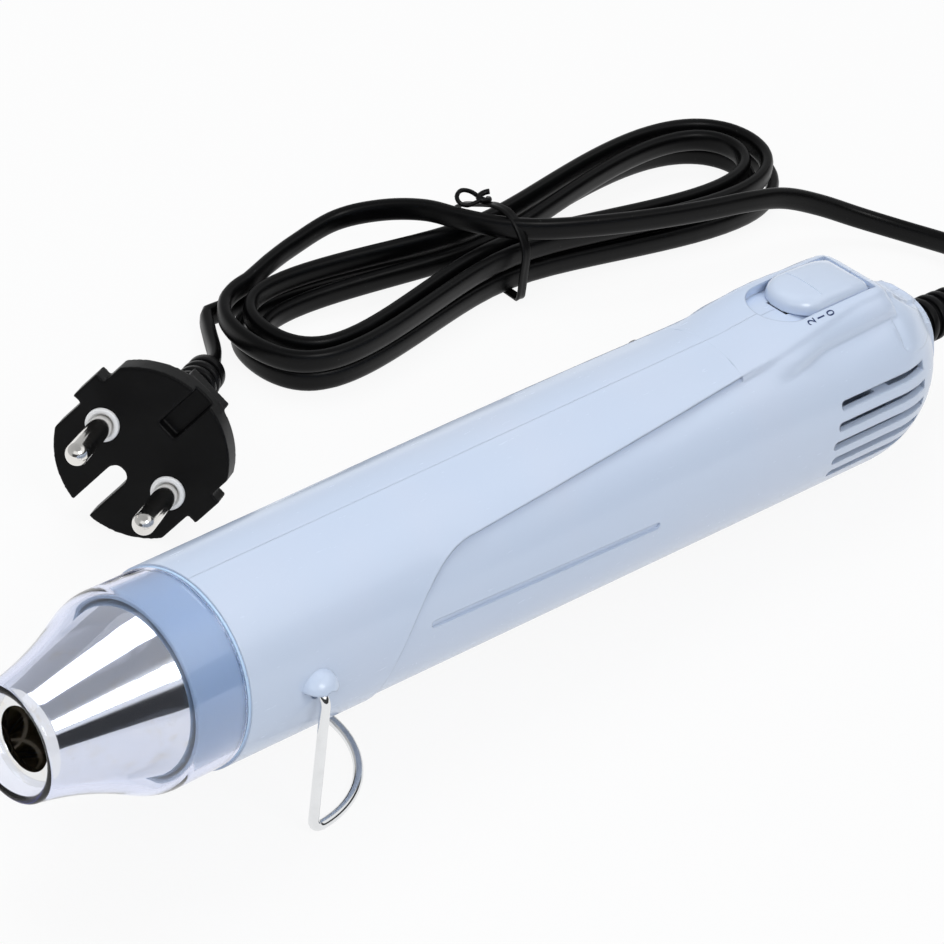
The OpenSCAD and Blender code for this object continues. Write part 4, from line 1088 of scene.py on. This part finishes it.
class HEATTOOL_OT_switch_button(bpy.types.Operator):
    """The switch button, with its raised index line"""
    bl_idname = "heat_tool.switch_button"
    bl_label = "Switch button"

    def execute(self, context):
        button = self.cap()
        line = block("index_line", (170.8, -4.9, 23.4), (171.2, 4.9, 25.7), TOOL, 0.1, 2)
        self.drape(line, button)
        cap = join("slide_button", [button, line])
        material = finish("button_plastic", lambda: moulded_plastic(
            "button_plastic", tuple(colours().housing), 0.2, 0.003, 0.0005, 0.02,
            Coat_Weight=0.25, Coat_Roughness=0.04))
        settle(cap, "switch", material, ("switch_button",))
        return {"FINISHED"}

    def cap(self):
        """The cap: a rounded front, a crest over the index line, and a back that sinks into the crown."""
        sections = []
        for inset, drop in ((0, 6.0), (0, 2.8), (0.06, 2.1), (0.25, 1.45), (0.6, 0.9), (1.1, 0.48), (1.8, 0.2),
                            (2.7, 0.06), (3.8, 0.01), (5.0, 0), (6.0, 0), (6.7, 0)):
            half = 6.9 - inset
            rear_r = max(0.15, 2.4 - inset)
            rear = 186.6 - inset * 0.7
            outline = [(169.9 + half * math.cos(a), half * math.sin(a))
                       for a in (math.radians(90 + 6 * k) for k in range(31))]
            outline += [(169.9 + (rear - rear_r - 169.9) * k / 10, -half) for k in range(1, 10)]
            outline += [(rear - rear_r + rear_r * math.cos(a), -half + rear_r + rear_r * math.sin(a))
                        for a in (math.radians(-90 + 15 * k) for k in range(7))]
            outline += [(u, -v) for u, v in reversed(outline[31:])]
            section = []
            for u, v in outline:
                dome = 25.75 - (u - 171) ** 2 / (74 if u > 171 else 52) - v * v / 60
                level = 25.2 - v * v / 160 - max(0, u - 178) ** 2 / 46
                crest = level + math.log1p(math.exp(min((dome - level) * 2.2, 40))) / 2.2
                section.append((u, v, max(crest - drop, 22.25)))
            sections.append(section)
        cap = loft("button_cap", sections, TOOL)
        # The apron covers the stem's slot. Its corners are cut back, so that they clear the well at full travel
        apron = [[(u, -1.6, w), (u, 1.6, w), (u + 0.5, 2.7, w), (172, 2.7, w), (172, -2.7, w), (u + 0.5, -2.7, w)]
                 for u, w in ((163.2, 22.08), (163.35, 22.4))]
        cap = join("button_cap", [cap, loft("button_apron", apron, TOOL)])
        return smooth(cap, 50)

    def drape(self, line, button):
        """Bends the line's top over the button's crown, so that it stands a little proud all along."""
        edit_all(line)
        bpy.ops.mesh.subdivide(number_cuts=8)
        bpy.ops.object.mode_set(mode="OBJECT")
        down = TOOL.to_3x3() @ Vector((0, 0, -1))
        top = max((TOOL.inverted() @ v.co).z for v in line.data.vertices)
        for vertex in line.data.vertices:
            depth = top - (TOOL.inverted() @ vertex.co).z
            hit, point, normal, face = button.ray_cast(vertex.co - down * 0.004, down, distance=0.02)
            if hit:
                vertex.co = point - down * (0.00014 - min(depth, 0.0009))
        line.data.update()


class HEATTOOL_OT_strain_relief(bpy.types.Operator):
    """The ribbed rubber sleeve where the cord leaves the housing"""
    bl_idname = "heat_tool.strain_relief"
    bl_label = "Strain relief"

    def execute(self, context):
        u0, u1 = OUTLET_END / MM, RELIEF_END / MM
        rings = [(4.6, u0 - 4), (4.9, u0 - 3.6), (5.0, u0 - 0.2), (5.5, u0 + 0.05), (5.45, u0 + 1.9)]
        for i in range(8):
            u = u0 + 2.3 + i * 3.4
            r = 5.5 - (5.5 - 4.2) * i / 8
            rings += [(r - 0.75, u - 0.35), (r - 0.7, u), (r - 0.15, u + 0.08), (r, u + 0.35), (r, u + 1.5),
                      (r - 0.16, u + 1.82), (r - 0.75, u + 1.9), (r - 0.8, u + 2.3)]
        rings += [(3.5, u1 - 2.3), (3.6, u1 - 2), (4.05, u1 - 1.9), (4.2, u1 - 1.6), (4.2, u1 - 0.5),
                  (4.0, u1 - 0.15), (3.5, u1), (3.0, u1 - 0.1)]
        relief = turn("cord_sleeve", rings, sides=64)
        smooth(relief, 50)
        material = finish("sleeve_rubber", lambda: rubber("sleeve_rubber", (0.0025, 0.0025, 0.0028), 0.42))
        settle(relief, "housing", material, ("strain_relief",))
        return {"FINISHED"}


class HEATTOOL_OT_stand(bpy.types.Operator):
    """The bent wire stand"""
    bl_idname = "heat_tool.stand"
    bl_label = "Wire stand"

    def execute(self, context):
        bend, half, r, top = 2.4, 22.4, 1.0, 33.0
        wire = []

        def corner(centre, first, second):
            """A quarter bend from one direction off its centre to another."""
            for k in range(9):
                a = math.pi / 2 * k / 8
                wire.append(Vector(centre) + bend * (math.cos(a) * Vector(first) + math.sin(a) * Vector(second)))

        for k in range(3):
            wire.append(Vector((0, 16.3 + k * (half - bend - 16.3) / 3, top)))
        corner((0, half - bend, top - bend), (0, 0, 1), (0, 1, 0))
        for k in range(1, 8):
            wire.append(Vector((0, half, top - bend - k * (top - 2 * bend - r) / 8)))
        corner((bend, half, r + bend), (-1, 0, 0), (0, 0, -1))
        for k in range(1, 40):
            a = math.pi / 2 - math.pi * k / 80
            wire.append(Vector((bend + half * math.cos(a), half * math.sin(a), r)))
        wire.append(Vector((bend + half, 0, r)))
        wire += [Vector((p.x, -p.y, p.z)) for p in reversed(wire[:-1])]
        line = evenly([(p + Vector((HINGE.x / MM, 0, 0))) * MM for p in wire], 0.0006)
        circle = [(MM * math.cos(k * math.pi / 10), MM * math.sin(k * math.pi / 10)) for k in range(20)]
        stand = sweep("bent_wire_stand", line, circle, upright=False)
        material = finish("bright_wire", lambda: bare_metal(
            "bright_wire", (0.80, 0.81, 0.82), 0.1, (1, 1, 0.12), depth=0.0012))
        settle(stand, "stand", material, ("wire_stand",))
        return {"FINISHED"}


class HEATTOOL_OT_plug(bpy.types.Operator):
    """The plug: body, pins, collars and ribbed boot"""
    bl_idname = "heat_tool.plug"
    bl_label = "Plug"

    def execute(self, context):
        black = finish("plug_black", lambda: eroded_plastic("plug_black", colours().plug[:], 0.4, 0.012))
        body = soften("plug_body", "plug_shell", 0.3, 4, 150000)
        ribs = []
        for i in range(9):
            x = -3.6 + i * 0.9
            ribs.append(block("rib", (x - 0.22, -15.4, -9.4), (x + 0.22, -11.2, -2.9), PLUG, 0.1, 1))
        grips = join("grip_ribs", ribs)
        plug_shell = join("plug_moulding", [body, grips])
        settle(plug_shell, "housing", black, ("plug_body",))
        self.pins()
        self.boot()
        return {"FINISHED"}

    def pins(self):
        pins, collars = [], []
        for side in (-1, 1):
            place = PLUG @ Matrix.Translation((side * 9.5 * MM, 0, 0))
            tip = [(2.4 * math.cos(a), 16.6 + 2.4 * math.sin(a)) for a in (math.pi / 2 * k / 9 for k in range(9))]
            rings = [(2.2, -7.8), (2.2, 0.85), (2.3, 0.9), (2.4, 1.0)] + tip + [(0.12, 18.99)]
            pins.append(smooth(turn("pin", rings, place, 64), 40))
            rings = [(2.27, 0.2), (2.5, 0.5), (2.8, 0.75), (3.3, 0.75), (3.5, 0.62), (3.6, 0.35), (3.6, -0.2),
                     (3.3, -0.75), (2.27, -0.75), (2.27, 0.2)]
            collars.append(smooth(turn("collar", rings, place, 64, tube=True), 30))
        pair = join("plug_pin_pair", pins)
        settle(pair, "housing", finish("pin_nickel", lambda: bare_metal(
            "pin_nickel", (0.80, 0.78, 0.75), 0.13, (1, 1, 1), depth=0.001)), ("plug_pins",))
        rings_pair = join("pin_collar_pair", collars)
        settle(rings_pair, "housing", finish("collar_white", lambda: moulded_plastic(
            "collar_white", (0.9, 0.905, 0.91), 0.35, 0.004, 0.001, 0.02)), ("plug_collars",))

    def boot(self):
        place = PLUG @ Matrix.Translation((0, 0, -0.026)) @ Matrix.Rotation(math.pi, 4, "X")
        rings = [(4.4, -0.2), (4.75, 0), (4.8, 0.9)]
        for i in range(6):
            h, r = 1.5 + i * 3.6, 5.1 - i * 0.12
            rings += [(r - 0.9, h - 0.3), (r - 0.85, h + 0.02), (r - 0.2, h + 0.1), (r, h + 0.4), (r, h + 1.6),
                      (r - 0.2, h + 1.9), (r - 0.85, h + 1.98), (r - 0.95, h + 2.4)]
        rings += [(3.5, 22.6), (3.6, 23), (4.15, 23.1), (4.3, 23.4), (4.3, 25.5), (4.1, 25.85), (3.6, 26),
                  (3.0, 25.9)]
        boot = turn("plug_boot_ribbed", rings, place, 56)
        smooth(boot, 50)
        material = finish("boot_rubber", lambda: rubber("boot_rubber", (0.0025, 0.0025, 0.0028), 0.4))
        settle(boot, "housing", material, ("plug_boot",))


class HEATTOOL_OT_inside(bpy.types.Operator):
    """Finishes for the parts inside the housing and the screws"""
    bl_idname = "heat_tool.inside"
    bl_label = "Inside parts"

    def execute(self, context):
        steel = (0.66, 0.66, 0.67)
        made = {
            "heater_tube": bare_metal("tube_steel", (0.42, 0.40, 0.38), 0.3, (0.2, 1, 1), tarnish=0.3),
            "mica_sleeve": mica("mica_sleeve_sheet", (0.42, 0.33, 0.2)),
            "mica_former": mica("mica_boards", (0.46, 0.37, 0.23)),
            "heating_coil": heating_wire("heating_wire"),
            "thermal_cutout": bare_metal("cutout_steel", (0.55, 0.55, 0.55), 0.34),
            "heater_holder": moulded_plastic("heat_plastic", (0.62, 0.56, 0.44), 0.5, 0.008, 0.004),
            "motor_mount": moulded_plastic("inner_plastic", (0.66, 0.63, 0.55), 0.45, 0.008, 0.003),
            "motor_can": bare_metal("motor_steel", steel, 0.26, (0.25, 1, 1)),
            "motor_cap": moulded_plastic("motor_cap_white", (0.72, 0.72, 0.7), 0.45, 0.006, 0.003),
            "motor_shaft": bare_metal("shaft_steel", steel, 0.14, (0.3, 1, 1)),
            "impeller": moulded_plastic("impeller_white", (0.7, 0.71, 0.7), 0.42, 0.006, 0.002),
            "rectifier_board": board_green("board_green"),
            "diodes": moulded_plastic("diode_epoxy", (0.012, 0.012, 0.013), 0.36, 0.01, 0.006, 0.2),
            "capacitor": moulded_plastic("capacitor_sleeve", (0.02, 0.035, 0.15), 0.24, 0.006, 0.0, 0.1),
            "switch_body": moulded_plastic("switch_black", (0.014, 0.014, 0.015), 0.4, 0.01, 0.005, 0.2),
            "switch_slider": moulded_plastic("slider_red", (0.42, 0.03, 0.025), 0.35, 0.006, 0.002),
            "switch_terminals": bare_metal("brass_terminals", (0.78, 0.58, 0.26), 0.24),
            "inner_leads": moulded_plastic("lead_sheath", (0.16, 0.045, 0.02), 0.38, 0.01, 0.0, 0.12),
            "cord_clamp": moulded_plastic("clamp_white", (0.7, 0.7, 0.68), 0.42, 0.006, 0.002),
            "clamp_screws": bare_metal("clamp_screw_steel", steel, 0.24),
            "housing_screws": bare_metal("screw_steel", (0.6, 0.6, 0.61), 0.2),
        }
        for node, material in made.items():
            if node not in NODES:
                raise RuntimeError(f"there is no node {node}")
            dress(NODES[node], material)
        return {"FINISHED"}


class HEATTOOL_OT_declare_cord(bpy.types.Operator):
    """Takes the cord's stored line of points off it again, once its plug is there"""
    bl_idname = "heat_tool.declare_cord"
    bl_label = "Cord's facts"

    def execute(self, context):
        cord = bpy.data.objects["cord"]
        del cord["line"]
        return {"FINISHED"}


class HEATTOOL_PT_panel(bpy.types.Panel):
    """Lists the pieces of the heat tool"""
    bl_label = "Heat Tool"
    bl_idname = "HEATTOOL_PT_panel"
    bl_space_type = "VIEW_3D"
    bl_region_type = "UI"
    bl_category = "Heat Tool"

    def draw(self, context):
        for group in (context.scene.heat_tool_sizes, context.scene.heat_tool_colours):
            box = self.layout.box()
            for name in group.__annotations__:
                box.prop(group, name)
        for operator in OPERATORS:
            self.layout.operator(operator.bl_idname)


OPERATORS = (
    HEATTOOL_OT_studio, HEATTOOL_OT_cord, HEATTOOL_OT_tie, HEATTOOL_OT_housing, HEATTOOL_OT_figures,
    HEATTOOL_OT_nozzle, HEATTOOL_OT_switch_button, HEATTOOL_OT_strain_relief, HEATTOOL_OT_stand, HEATTOOL_OT_plug,
    HEATTOOL_OT_inside, HEATTOOL_OT_declare_cord)
CLASSES = (HeatToolSizes, HeatToolColours, *OPERATORS, HEATTOOL_PT_panel)


def register():
    for item in CLASSES:
        bpy.utils.register_class(item)
    bpy.types.Scene.heat_tool_sizes = bpy.props.PointerProperty(type=HeatToolSizes)
    bpy.types.Scene.heat_tool_colours = bpy.props.PointerProperty(type=HeatToolColours)


def unregister():
    del bpy.types.Scene.heat_tool_colours
    del bpy.types.Scene.heat_tool_sizes
    for item in reversed(CLASSES):
        bpy.utils.unregister_class(item)


def main():
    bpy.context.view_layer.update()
    register()
    bpy.ops.heat_tool.studio()
    bpy.ops.heat_tool.cord()
    bpy.ops.heat_tool.tie()
    bpy.ops.heat_tool.housing()
    bpy.ops.heat_tool.figures()
    bpy.ops.heat_tool.nozzle()
    bpy.ops.heat_tool.switch_button()
    bpy.ops.heat_tool.strain_relief()
    bpy.ops.heat_tool.stand()
    bpy.ops.heat_tool.plug()
    bpy.ops.heat_tool.inside()
    bpy.ops.heat_tool.declare_cord()


if __name__ == "__main__":
    main()
